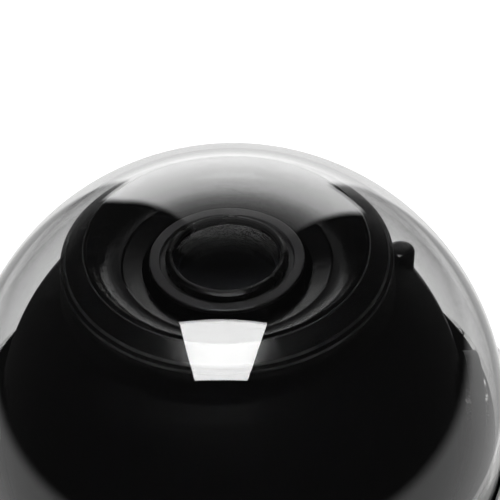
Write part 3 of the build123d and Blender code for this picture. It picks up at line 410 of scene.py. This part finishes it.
def optical(name, colour, ior, rough=0.0):
    """Glass or clear plastic with a faint trace of wiping marks in its gloss."""
    s = Shader(name).set(Transmission_Weight=1.0, IOR=ior)
    haze = s.noise(14.0, 2.0, 0.5)
    tint = tuple(c * 0.985 for c in colour)
    s.colour(s.mix(s.ranged(haze, 0.35, 0.65, 0.0, 1.0), colour, tint))
    s.roughness(s.ranged(haze, 0.45, 0.75, rough, rough + 0.002))
    return s


# ---------------------------------------------------------------- materials
# one for each slot of the record; coated lens glass has a low index, for its weak reflections
SHADERS = {
    "housing_white": plastic(
        "housing_white", (0.83, 0.83, 0.815), vary=0.03, rough=0.42, rough_vary=0.05, grain=0.55,
        depth=0.012, dust=0.5,
    ),
    "ring_white": plastic(
        "ring_white", (0.80, 0.80, 0.79), vary=0.03, rough=0.36, rough_vary=0.05, grain=0.35,
        depth=0.010, dust=0.5, Coat_Weight=0.15,
    ),
    "dome_clear": optical("dome_clear", (0.95, 0.95, 0.95), ior=1.55),
    "liner_black": plastic(
        "liner_black", (0.012, 0.012, 0.013), vary=0.25, rough=0.62, rough_vary=0.05, grain=0.35,
        depth=0.015, dust=0.04,
    ),
    "ball_black": plastic(
        "ball_black", (0.0045, 0.0045, 0.005), vary=0.25, rough=0.24, rough_vary=0.012, grain=0.30,
        depth=0.0006, dust=0.04,
    ),
    "cup_black": plastic(
        "cup_black", (0.0045, 0.0045, 0.005), vary=0.25, rough=0.19, rough_vary=0.012, grain=0.30,
        depth=0.0004, dust=0.03, Specular_IOR_Level=0.2,
    ),
    "barrel_black": plastic(
        "barrel_black", (0.006, 0.006, 0.0065), vary=0.25, rough=0.45, rough_vary=0.03, grain=0.22,
        depth=0.002, Specular_IOR_Level=0.14,
    ),
    "ring_grey": plastic(
        "ring_grey", (0.032, 0.032, 0.034), vary=0.10, rough=0.34, rough_vary=0.03, grain=0.25,
        depth=0.0012,
    ),
    "retainer_black": plastic(
        "retainer_black", (0.007, 0.007, 0.0075), vary=0.2, rough=0.28, rough_vary=0.02, grain=0.25,
        depth=0.0003, Specular_IOR_Level=0.2,
    ),
    "front_glass": optical("front_glass", (0.40, 0.41, 0.45), ior=1.13),
    "inner_glass": optical("inner_glass", (0.62, 0.66, 0.72), ior=1.16),
    "frame_metal": metal("frame_metal", (0.62, 0.63, 0.64), rough=0.34, rough_vary=0.08, stretch=(1, 8, 8)),
    "plate_steel": metal(
        "plate_steel", (0.68, 0.68, 0.66), rough=0.36, rough_vary=0.10, stretch=(1, 6, 1), scratch=0.9,
        depth=0.003,
    ),
    "screw_steel": metal(
        "screw_steel", (0.58, 0.58, 0.58), rough=0.26, rough_vary=0.08, stretch=(1, 1, 1), scratch=0.4,
    ),
    "screw_black": metal(
        "screw_black", (0.05, 0.05, 0.052), rough=0.36, rough_vary=0.08, stretch=(1, 1, 1),
        scratch=0.4,
    ),
    "bearing_steel": metal(
        "bearing_steel", (0.74, 0.74, 0.75), rough=0.14, rough_vary=0.05, stretch=(1, 1, 6),
        scratch=0.5,
    ),
    "gear_plastic": plastic(
        "gear_plastic", (0.80, 0.78, 0.70), vary=0.05, rough=0.42, rough_vary=0.05, grain=0.4,
        depth=0.004, Subsurface_Weight=0.1,
    ),
    "gear_brass": metal(
        "gear_brass", (0.78, 0.58, 0.25), rough=0.22, rough_vary=0.07, stretch=(1, 1, 5), scratch=0.5,
    ),
    "motor_steel": metal(
        "motor_steel", (0.52, 0.52, 0.53), rough=0.30, rough_vary=0.08, stretch=(1, 1, 0.2),
        scratch=0.5,
    ),
    "board_green": plastic(
        "board_green", (0.012, 0.13, 0.05), vary=0.2, rough=0.32, rough_vary=0.06, grain=1.8,
        depth=0.02,
    ),
    "chip_black": plastic(
        "chip_black", (0.02, 0.02, 0.02), vary=0.2, rough=0.55, rough_vary=0.06, grain=0.2,
        depth=0.006,
    ),
    "jack_metal": metal(
        "jack_metal", (0.66, 0.66, 0.66), rough=0.30, rough_vary=0.08, stretch=(6, 1, 6), scratch=0.7,
    ),
    "rubber_black": plastic(
        "rubber_black", (0.018, 0.018, 0.018), vary=0.2, rough=0.72, rough_vary=0.06, grain=0.6,
        depth=0.01, dust=0.3,
    ),
    "slip_ring_grey": plastic(
        "slip_ring_grey", (0.17, 0.17, 0.18), vary=0.1, rough=0.5, rough_vary=0.06, grain=0.4,
        depth=0.008,
    ),
    "sensor_face": plastic(
        "sensor_face", (0.03, 0.035, 0.06), vary=0.3, rough=0.08, rough_vary=0.02, grain=0.6,
        depth=0.0004, Coat_Weight=1.0,
    ),
    "light_pipe": optical("light_pipe", (0.9, 0.95, 0.92), ior=1.49, rough=0.05),
    "button_grey": plastic(
        "button_grey", (0.22, 0.22, 0.23), vary=0.08, rough=0.45, rough_vary=0.05, grain=0.3,
        depth=0.006,
    ),
    "filter_glass": optical("filter_glass", (0.55, 0.82, 0.84), ior=1.3),
}

# painted highlight lines in pale grey along the collar's edges of the black ball cover
painted_edge_highlights(
    SHADERS["ball_black"],
    [(COLLAR_EDGE, TILT_Z + 52.7, 0.5), (39.1, TILT_Z + 53.9, 0.5), (34.4, TILT_Z + 57.0, 0.45)],
    (0.06, 0.06, 0.06),
)

for node, obj in NODES.items():
    obj.data.materials.clear()
    obj.data.materials.append(SHADERS[SLOT_OF[node]].material)


def finish_piece(obj, node):
    """Gives a piece its material, lets it stand for its CAD node and ride on that node's body."""
    obj.data.materials.clear()
    obj.data.materials.append(SHADERS[SLOT_OF[node]].material)
    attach(obj, BODY_OF[node])
    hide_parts(node)


# ---------------------------------------------------------------- dome, ball and lens
def clear_dome():
    """Clear dome shell with its short cylinder and clamped flange."""
    arc_out = sphere_arc(DOME_OUT, DOME_OUT, 0.0, 96)
    arc_in = sphere_arc(DOME_IN, 0.0, DOME_IN, 96)
    foot = rounded([
        (DOME_IN, FLANGE_Z), (FLANGE_R, FLANGE_Z, 0.4), (FLANGE_R, FLANGE_TOP, 0.4),
        (DOME_OUT, FLANGE_TOP, 0.9),
    ])
    finish_piece(soften(lathe("dome_shell", arc_out + arc_in + foot, FINE)), "clear_dome")


def front_cover():
    """Upper half of the ball, with its raised collar and rounded collar edges."""
    wall = BALL_OUT - BALL_IN
    seam = 0.1  # gap to the rear cover, above the tilt axis
    equator = math.cos(0.012)  # share of the ball's radius where its arcs meet the seam
    foot = COLLAR_EDGE + 0.6
    flare = foot + 2.6  # where the ball runs into the rounding at the collar's foot
    crown = COLLAR_EDGE - COLLAR_CHAMFER
    crown_in = crown - 1.5
    lip = COLLAR_MOUTH + 0.35
    crown_z = on_sphere(COLLAR_R, crown)
    mouth_z = on_sphere(COLLAR_R, COLLAR_MOUTH)
    inner_wall = COLLAR_EDGE - wall
    outline = [(BALL_OUT, TILT_Z + seam)]
    outline += sphere_arc(BALL_OUT, BALL_OUT * equator, flare, 40)
    outline += rounded([
        (flare, on_sphere(BALL_OUT, flare)),
        (foot, on_sphere(BALL_OUT, foot), 1.9),
        (COLLAR_EDGE, crown_z - COLLAR_CHAMFER, 0.5),
        (crown, crown_z, 0.5),
        (crown_in, on_sphere(COLLAR_R, crown_in)),
    ])[1:]
    outline += sphere_arc(COLLAR_R, crown_in - 0.1, lip, 12)
    outline += rounded([
        (lip, on_sphere(COLLAR_R, lip)), (COLLAR_MOUTH, mouth_z, 0.25), (COLLAR_MOUTH, mouth_z - wall),
    ])[1:-1]
    outline += sphere_arc(COLLAR_R - wall, COLLAR_MOUTH, inner_wall, 8)
    outline += sphere_arc(BALL_IN, inner_wall, BALL_IN * equator, 40)
    outline += [(BALL_IN, TILT_Z + seam)]
    cover = lathe("ball_front_cover", outline, FINE)
    axle_hole = prism("hole", circle(4.6), -DOME_OUT, DOME_OUT)
    turned(axle_hole, Matrix.Translation((0, 0, TILT_Z * SCALE)) @ Matrix.Rotation(math.pi / 2, 4, "Y"))
    finish_piece(soften(combine(cover, [axle_hole]), sharp=24), "head_front_cover")


def cover_post():
    """Round post with a domed top beside the collar, sunk into the cover."""
    x, y, top, r = 43.3, 13.5, TILT_Z + 42.6, 3.6
    low = on_sphere(BALL_OUT, math.hypot(x, y)) - 7.5
    outline = rounded([(0.0, low), (r, low), (r, top, 3.2), (0.0, top)], 10)
    finish_piece(soften(lathe("cover_post_stub", outline, 96, x, y)), "cover_post")


def arc_through(start, middle, end, steps):
    """Points on the circular arc through three points."""
    (ax, ay), (bx, by), (cx, cy) = start, middle, end
    d = 2 * (ax * (by - cy) + bx * (cy - ay) + cx * (ay - by))
    sa, sb, sc = ax * ax + ay * ay, bx * bx + by * by, cx * cx + cy * cy
    ux = (sa * (by - cy) + sb * (cy - ay) + sc * (ay - by)) / d
    uy = (sa * (cx - bx) + sb * (ax - cx) + sc * (bx - ax)) / d
    radius = math.hypot(ax - ux, ay - uy)
    first = math.atan2(ay - uy, ax - ux)
    sweep = math.atan2(cy - uy, cx - ux) - first
    sweep = (sweep + math.pi) % (2 * math.pi) - math.pi
    angles = [first + sweep * k / steps for k in range(steps + 1)]
    return [(ux + radius * math.cos(a), uy + radius * math.sin(a)) for a in angles]


def lens_cup():
    """Concave funnel from the collar's mouth to the barrel, with a step at its foot."""
    edge, lip = 33.5, 34.2
    edge_z = on_sphere(COLLAR_R, edge) - 0.1
    lip_z = on_sphere(COLLAR_R, lip) - 0.5
    bowl_foot, bowl_z = 25.8, TILT_Z + 52.4
    step_z = TILT_Z + 50.5
    tube_in, tube_out, tube_z = 20.6, 22.2, TILT_Z + 44.5
    outline = arc_through((edge, edge_z), (30.6, bowl_z + 1.2), (bowl_foot, bowl_z), 14)
    outline += rounded([
        (bowl_foot, bowl_z), (bowl_foot - 0.5, bowl_z - 0.7, 0.25), (tube_in, step_z, 0.35),
        (tube_in, tube_z), (tube_out, tube_z), (tube_out, step_z - 1.4), (bowl_foot + 0.3, step_z),
        (31.6, bowl_z), (lip, lip_z - 2.8), (lip, lip_z, 0.15), (edge, edge_z),
    ])[1:-1]
    finish_piece(soften(lathe("lens_cup_funnel", outline, FINE), sharp=28), "lens_cup")


def lens_barrel():
    """Barrel with its flange and the cell of the second lens."""
    top, cell_top = TILT_Z + BARREL_TOP, TILT_Z + 46.8
    flange, flange_z, flange_top = 20.2, TILT_Z + 38.0, TILT_Z + 40.0
    throat = CELL_R + 0.5
    outline = rounded([
        (BARREL_IN, cell_top, 0.1), (BARREL_IN, top), (BARREL_OUT, top, 0.1), (BARREL_OUT, flange_top, 0.4),
        (flange, flange_top, 0.2), (flange, flange_z), (throat, flange_z), (throat, flange_top),
        (CELL_R, flange_top), (CELL_R, cell_top, 0.25),
    ])
    finish_piece(soften(lathe("lens_barrel_tube", outline, 192)), "lens_barrel")


def lens_front_ring():
    """Grey ring that caps the barrel."""
    foot, shelf, top = TILT_Z + 47.0, TILT_Z + BARREL_TOP, TILT_Z + 53.3
    sleeve, rim = BARREL_IN - 0.05, BARREL_OUT + 0.1
    lip, lip_z = 16.3, shelf + 0.4
    outline = rounded([
        (FRONT_BORE, foot), (sleeve, foot), (sleeve, shelf), (rim, shelf, 0.1), (rim, top, 0.45),
        (lip + 0.1, top, 0.2), (lip, lip_z, 0.15), (FRONT_BORE, lip_z, 0.1),
    ])
    finish_piece(soften(lathe("lens_front_band", outline, 192)), "lens_front_ring")


def retaining_ring():
    """Raised ring that holds the front glass, with a bevelled crown and an inner step."""
    foot, shelf, top = TILT_Z + 48.6, TILT_Z + 50.4, TILT_Z + 54.6
    bore, outer = 11.6, FRONT_BORE - 0.05
    outline = rounded([
        (bore, foot), (outer, foot), (outer, top - 0.55, 0.25), (13.9, top, 0.3),
        (SEAT_R + 0.25, top - 0.05, 0.2), (SEAT_R, top - 0.4, 0.1), (SEAT_R, shelf), (bore, shelf),
    ])
    finish_piece(soften(lathe("glass_retaining_ring", outline, 192)), "lens_retaining_ring")


def lens_element(name, node, r, low, high, bulge_top, bulge_low):
    """Lens of radius r with two bulging spherical faces, its rim from low to high above the tilt centre."""
    def face(edge, bulge, side):
        radius = (r * r + bulge * bulge) / (2 * bulge)
        rim = math.sqrt(radius**2 - r * r)
        steps = 24
        reaches = [r * k / steps for k in range(steps + 1)]
        return [(a, edge + side * (math.sqrt(radius**2 - a * a) - rim)) for a in reaches]

    outline = face(TILT_Z + high, bulge_top, 1)
    outline += list(reversed(face(TILT_Z + low, bulge_low, -1)))
    finish_piece(soften(lathe(name, outline, 128), sharp=40), node)


def around(radius, start, count):
    """Points on a circle about the axis, with the first one at the start angle in degrees."""
    return circle(radius, count=count, turn=math.radians(start))


def drill(radius, low, high, places, sides=64):
    """One cutting cylinder for each place."""
    return [prism("hole", circle(radius, x, y, sides), low, high) for x, y in places]


RING_SCREWS = around(RING_SCREW_R, RING_SCREW_TURN, 6)
LOCKS = around(LOCK_R, LOCK_TURN, 3)
BOLTS = around(BOLT_R, 0, 4)


def housing():
    """White base shell with bosses, a rim, and the jack's window and two round holes in its back."""
    cable_hole, rim_low = 12.0, RIM_Z - 4.0
    outline = rounded([
        (cable_hole, PLATE_TOP, 0.3), (HOUSING_LOW_R - 1.0, PLATE_TOP, 0.4),
        (HOUSING_LOW_R, PLATE_TOP + 1.0, 0.6), (HOUSING_TOP_R, RIM_Z, 0.4), (RIM_IN, RIM_Z, 0.3),
        (RIM_IN, rim_low, 0.3), (73.21, rim_low), (76.42, rim_low - 4.0), (80.84, FLOOR_TOP, 0.8),
        (cable_hole, FLOOR_TOP, 0.3),
    ])
    shell = lathe("housing_shell", outline, FINE)
    combine(shell, drill(4.5, FLOOR_TOP - 1.0, FLOOR_TOP + 3.0, LOCKS), "UNION")
    low, high = PLATE_TOP - 1.0, FLOOR_TOP + 2.5  # the blind screw holes end inside the bosses
    cuts = drill(LOCK_HOLE, low, high, LOCKS, 32) + drill(BOLT_HOLE, low, high, BOLTS)
    cuts += drill(RING_SCREW_HOLE, rim_low + 0.4, RIM_Z + 1.0, RING_SCREWS, 32)
    back, depth = 70, 20  # the cuts through the back wall start at y = back
    side = 16.0  # of the button and the light pipe from the middle
    window_wide, window_high, window_z = 17.0, 14.6, 20.4
    window = oblong(window_wide, window_high, 0.6, 0.0, window_z)
    for shape in (window, circle(2.6, side, BACK_HOLES_Z), circle(1.6, -side, BACK_HOLES_Z, 48)):
        cuts.append(along_y(prism("hole", shape, 0, depth), back))
    finish_piece(soften(combine(shell, cuts)), "base_housing")


def clamp_ring():
    """White ring that holds the dome's flange, with a round shoulder and six screw recesses."""
    skirt, bend, crest = (HOUSING_TOP_R, 100.2), (78.75, 104.1), (RING_SCREW_R, RING_TOP)
    foot = (FLANGE_BORE, RIM_Z)
    outline = [foot] + rounded([foot, (HOUSING_TOP_R, RIM_Z, 0.3), skirt])[1:-1]
    steps = 12
    for k in range(steps + 1):  # quadratic curve over the shoulder
        t = k / steps
        shares = ((1 - t) ** 2, 2 * t * (1 - t), t * t)
        outline.append(tuple(sum(w * p[i] for w, p in zip(shares, (skirt, bend, crest))) for i in (0, 1)))
    inner, chamfer = 70.3, 0.7
    outline += rounded([
        crest, (inner + chamfer, RING_TOP, 0.5), (inner, RING_TOP - chamfer, 0.3), (inner, FLANGE_TOP, 0.1),
        (FLANGE_BORE, FLANGE_TOP), foot,
    ])[1:-1]
    ring = lathe("dome_clamp_ring", outline, FINE)
    above = RING_TOP + 1.5
    cuts = drill(2.4, SCREW_SEAT, above, RING_SCREWS) + drill(1.4, 99.7, above, RING_SCREWS, 32)
    finish_piece(soften(combine(ring, cuts)), "dome_ring")


def ring_screws():
    """Six small steel screws with rounded heads and hexagon sockets."""
    tip, head_top = 96.4, RING_TOP - 0.3
    shank, head = 1.25, 2.2
    outline = rounded([
        (0.0, tip), (shank - 0.25, tip), (shank, tip + 0.3), (shank, SCREW_SEAT), (head, SCREW_SEAT, 0.15),
        (head, head_top, 0.45), (0.0, head_top),
    ])
    screws = []
    for x, y in RING_SCREWS:
        body = lathe("screw", outline, 48, x, y)
        hexagon = circle(1.21, x, y, 6, math.radians(12))
        socket = prism("socket", hexagon, head_top - 0.84, head_top + 0.8)
        screws.append(combine(body, [socket]))
    finish_piece(soften(joined("ring_hex_screws", screws)), "dome_ring_screws")


def base_plate():
    """Steel plate with its cable hole, four bolt holes and three countersunk holes."""
    cable_hole, edge = 14.0, 0.5
    outline = rounded([
        (cable_hole, 0.0, 0.2), (PLATE_R - edge, 0.0, 0.1), (PLATE_R, edge, 0.2),
        (PLATE_R, PLATE_TOP - edge, 0.2), (PLATE_R - edge, PLATE_TOP, 0.1), (cable_hole, PLATE_TOP, 0.2),
    ])
    plate = lathe("plate_disc", outline, FINE)
    above = PLATE_TOP + 1.0
    cuts = drill(2.25, -1.0, above, BOLTS, 48)
    shank, mouth = 2.1, 4.2  # the countersink narrows at 45 degrees, from its mouth to the screw's shank
    sink = [
        (0.0, -edge), (mouth + edge, -edge), (mouth, 0.0), (shank, mouth - shank), (shank, above),
        (0.0, above),
    ]
    cuts += [lathe("sink", sink, 48, x, y) for x, y in LOCKS]
    finish_piece(soften(combine(plate, cuts)), "mounting_plate")


def grommet():
    """Rubber grommet with rounded lips, for a network cable."""
    bore, groove, lip = 3.2, 11.95, 13.4
    low, high, gap = 1.4, 7.8, 0.05
    outline = rounded([
        (bore, low, 0.5), (lip, low, 0.5), (lip, PLATE_TOP - gap, 0.3), (groove, PLATE_TOP - gap),
        (groove, FLOOR_TOP + gap), (lip + 0.2, FLOOR_TOP + gap, 0.3), (lip - 1.0, high, 0.6),
        (bore, high, 0.6),
    ])
    finish_piece(soften(lathe("rubber_grommet", outline, 128)), "cable_grommet")


def liner():
    """Black liner with a flanged foot and a rounded lip inside the dome."""
    inner, upper, lower, flange = 67.1, 67.7, 69.0, 75.5
    foot, foot_top, lip_z = 33.0, 35.0, TILT_Z + 1.2
    outline = rounded([
        (inner, foot), (flange, foot, 0.3), (flange, foot_top, 0.3), (lower, foot_top, 0.5),
        (lower, FLANGE_Z - 0.4, 0.2), (upper, FLANGE_Z - 0.1, 0.2), (upper, lip_z, 0.2), (inner, lip_z, 0.2),
    ])
    wall = lathe("black_liner", outline, FINE)
    standoffs = around(STANDOFF_R, STANDOFF_TURN, 4)
    holes = drill(STANDOFF_HOLE, foot - 1.0, foot_top + 1.0, standoffs, 32)
    finish_piece(soften(combine(wall, holes)), "inner_liner")


housing()
clamp_ring()
ring_screws()
base_plate()
grommet()
liner()
clear_dome()
front_cover()
cover_post()
lens_cup()
lens_barrel()
lens_front_ring()
retaining_ring()
lens_element(
    "front_glass_element", "front_lens_glass", r=12.88, low=51.2, high=53.8, bulge_top=1.5, bulge_low=0.7
)
lens_element(
    "second_glass_element", "second_lens", r=13.03, low=42.0, high=44.6, bulge_top=1.6, bulge_low=0.8
)


# ---------------------------------------------------------------- stage
def floor():
    """Pale floor, wide enough for every view.

    It glows as a lit studio sweep does, and no reflection shows it.
    """
    bm = bmesh.new()
    bmesh.ops.create_grid(bm, x_segments=24, y_segments=24, size=5.0)
    sheet = to_object("floor", bm)
    s = Shader("floor_pale").set(Roughness=0.9, Emission_Color=(1.0, 1.0, 1.0, 1.0), Emission_Strength=0.95)
    patches = s.ranged(s.noise(400.0, 3.0), 0.4, 0.6, 0.0, 1.0)
    s.colour(s.mix(patches, (0.50, 0.50, 0.50), (0.54, 0.54, 0.54)))
    sheet.data.materials.append(s.material)
    sheet.visible_glossy = False
    sheet.visible_transmission = False


def area_light(name, centre, target, width, height, radiance):
    """Softbox of an even radiance, aimed at a target and unseen by the camera."""
    light = bpy.data.lights.new(name, "AREA")
    light.shape = "RECTANGLE"
    light.size, light.size_y = width, height
    light.energy = radiance * math.pi * width * height
    lamp = bpy.data.objects.new(name, light)
    lamp.location = centre
    lamp.rotation_euler = (Vector(target) - Vector(centre)).to_track_quat("-Z", "Y").to_euler()
    lamp.visible_camera = False
    bpy.context.scene.collection.objects.link(lamp)
    return lamp


def reflected_softbox(near, far, width, radiance):
    """Softbox seen only in reflections, its middle line from near to far."""
    near, far = Vector(near), Vector(far)
    along = (far - near).normalized()
    across = Vector((1, 0, 0)) - along * along.x
    across.normalize()
    up = across.cross(along)
    if up.z < 0:
        across.negate()
        up.negate()
    lamp = area_light("softbox", (near + far) / 2, (0, 0, 0), width, (far - near).length, radiance)
    lamp.rotation_euler = Matrix((across, along, up)).transposed().to_euler()
    lamp.visible_diffuse = False


def fill_light(name, centre, target, size, radiance):
    """Large soft light for the matt surfaces outside the dome, kept out of reflections."""
    lamp = area_light(name, centre, target, size, size, radiance)
    lamp.visible_glossy = False
    lamp.visible_transmission = False


def studio_world(backdrop, fill):
    """White surround for what is seen straight on, and a lit backdrop behind the object in reflections.

    Azimuth is measured from +Y towards +X and height from the horizon, both in degrees.
    """
    world = bpy.data.worlds.new("studio")
    bpy.context.scene.world = world
    world.use_nodes = True
    nodes, links = world.node_tree.nodes, world.node_tree.links
    nodes.clear()

    def calc(operation, *values):
        node = nodes.new("ShaderNodeMath")
        node.operation = operation
        for socket, value in zip(node.inputs, values):
            if isinstance(value, (int, float)):
                socket.default_value = value
            else:
                links.new(value, socket)
        return node.outputs[0]

    def fade(value, start, end):
        node = nodes.new("ShaderNodeMapRange")
        node.interpolation_type = "SMOOTHSTEP"
        node.inputs["From Min"].default_value = start
        node.inputs["From Max"].default_value = end
        links.new(value, node.inputs["Value"])
        return node.outputs[0]

    axes = nodes.new("ShaderNodeSeparateXYZ")
    links.new(nodes.new("ShaderNodeTexCoord").outputs["Generated"], axes.inputs[0])
    x, y, z = axes.outputs
    azimuth = calc("DEGREES", calc("ARCTAN2", x, y))
    height = calc("DEGREES", calc("ARCSINE", z))
    # the backdrop's left edge leans in as it rises, and dark stands narrow it near the table
    lean = calc("MULTIPLY", calc("MAXIMUM", calc("SUBTRACT", height, 12.0), 0.0), 0.16)
    left_stand = calc("MULTIPLY", fade(height, 2.0, -3.0), 6.5)
    right_stand = calc("MULTIPLY", fade(height, 9.0, 3.5), 11.0)
    left = fade(calc("SUBTRACT", calc("SUBTRACT", azimuth, lean), left_stand), -22.8, -20.4)
    right = fade(calc("ADD", azimuth, right_stand), 31.5, 29.0)
    ramp = nodes.new("ShaderNodeValToRGB")
    links.new(calc("DIVIDE", calc("ADD", height, 90.0), 180.0), ramp.inputs[0])
    for stop in list(ramp.color_ramp.elements)[1:]:
        ramp.color_ramp.elements.remove(stop)
    ramp.color_ramp.elements[0].position = 0.0
    ramp.color_ramp.elements[0].color = (0.3, 0.3, 0.3, 1)
    levels = (  # (height, brightness)
        (-14, 0.3), (-8, 0.45), (-2, 0.9), (4, 1.0), (18, 1.0), (25, 0.9), (32, 0.4), (39, 0.19),
        (45, 0.06), (51, 0.02), (62, 0.0),
    )
    for degrees, level in levels:
        ramp.color_ramp.elements.new((degrees + 90.0) / 180.0).color = (level, level, level, 1)
    shape = calc("MULTIPLY", calc("MULTIPLY", left, right), ramp.outputs[0])
    paths = nodes.new("ShaderNodeLightPath").outputs
    bounced = calc("ADD", paths["Glossy Depth"], paths["Diffuse Depth"])
    passed = calc("MULTIPLY", paths["Is Transmission Ray"], calc("LESS_THAN", bounced, 0.5))
    seen = paths["Is Camera Ray"]
    direct = calc("MAXIMUM", seen, passed)
    # the pale table with a dark post on each side, which only the dome's outer face reflects
    table = calc("MULTIPLY", fade(height, -10.0, -18.0), 1.15)
    from_left = calc("ABSOLUTE", calc("ADD", azimuth, 17.5))
    left_post = calc("MULTIPLY", fade(from_left, 5.0, 3.0), fade(height, -16.0, -12.5))
    from_right = calc("ABSOLUTE", calc("SUBTRACT", azimuth, 23.5))
    right_post = calc("MULTIPLY", fade(from_right, 4.5, 2.5), fade(height, -12.0, -9.0))
    clear = calc("SUBTRACT", 1.0, calc("MAXIMUM", left_post, right_post))
    outer_face = calc("LESS_THAN", paths["Transmission Depth"], 0.5)
    outside = calc("MULTIPLY", calc("MULTIPLY", table, clear), outer_face)
    lit = calc("ADD", calc("MAXIMUM", calc("MULTIPLY", shape, backdrop), outside), fill)
    seen_level, passed_level = 1.3, 1.03  # the surround seen straight on, and seen through the dome
    white = calc("MAXIMUM", calc("MULTIPLY", seen, seen_level), calc("MULTIPLY", passed, passed_level))
    strength = calc("ADD", white, calc("MULTIPLY", calc("SUBTRACT", 1.0, direct), lit))
    background = nodes.new("ShaderNodeBackground")
    links.new(strength, background.inputs["Strength"])
    out = nodes.new("ShaderNodeOutputWorld")
    links.new(background.outputs[0], out.inputs["Surface"])


def camera():
    """Camera at the dome's front, about 45 degrees up, turned a little about its own axis."""
    distance, elevation, roll = 0.7, math.radians(44.6), math.radians(2.4)
    back = Vector((0, -math.cos(elevation), math.sin(elevation)))
    level_up = Vector((0, math.sin(elevation), math.cos(elevation)))
    up = math.sin(roll) * Vector((1, 0, 0)) + math.cos(roll) * level_up
    right = up.cross(back)
    centre = Vector((0, 0, TILT_Z * SCALE))
    focal, sensor = 5.42, 36.0  # focal length in picture widths, and the sensor's width in mm
    off_right, off_up = 0.0332, 0.3286  # from the dome's centre to the aim, in picture widths there
    aim = centre + distance / focal * (off_right * right + off_up * up)
    place = centre + distance * back
    data = bpy.data.cameras.new("camera")
    data.sensor_width = sensor
    data.lens = sensor * focal
    data.clip_start, data.clip_end = 0.02, 50.0
    view = bpy.data.objects.new("camera", data)
    axis_z = (place - aim).normalized()
    axis_x = up.cross(axis_z).normalized()
    axis_y = axis_z.cross(axis_x)
    rotation = Matrix((axis_x, axis_y, axis_z)).transposed()
    view.matrix_world = Matrix.Translation(place) @ rotation.to_4x4()
    bpy.context.scene.collection.objects.link(view)
    bpy.context.scene.camera = view


floor()
reflected_softbox(near=(-0.039, -0.134, 1.10), far=(-0.115, -0.83, 1.46), width=0.584, radiance=9.0)
fill_light("fill_left", (-1.1, -0.9, 1.3), target=(0, 0, 0.05), size=1.2, radiance=2.6)
fill_light("fill_right", (1.2, 0.7, 1.2), target=(0, 0, 0.05), size=1.2, radiance=2.0)
fill_light("fill_front", (0.5, -1.4, 0.9), target=(0, 0, 0.05), size=1.2, radiance=1.5)
fill_light("fill_top", (0, 0.5, 1.8), target=(0, 0.1, 0), size=1.4, radiance=2.4)
studio_world(backdrop=2.9, fill=0.02)
camera()
bpy.context.scene.view_settings.view_transform = "Standard"

bpy.context.view_layer.update()
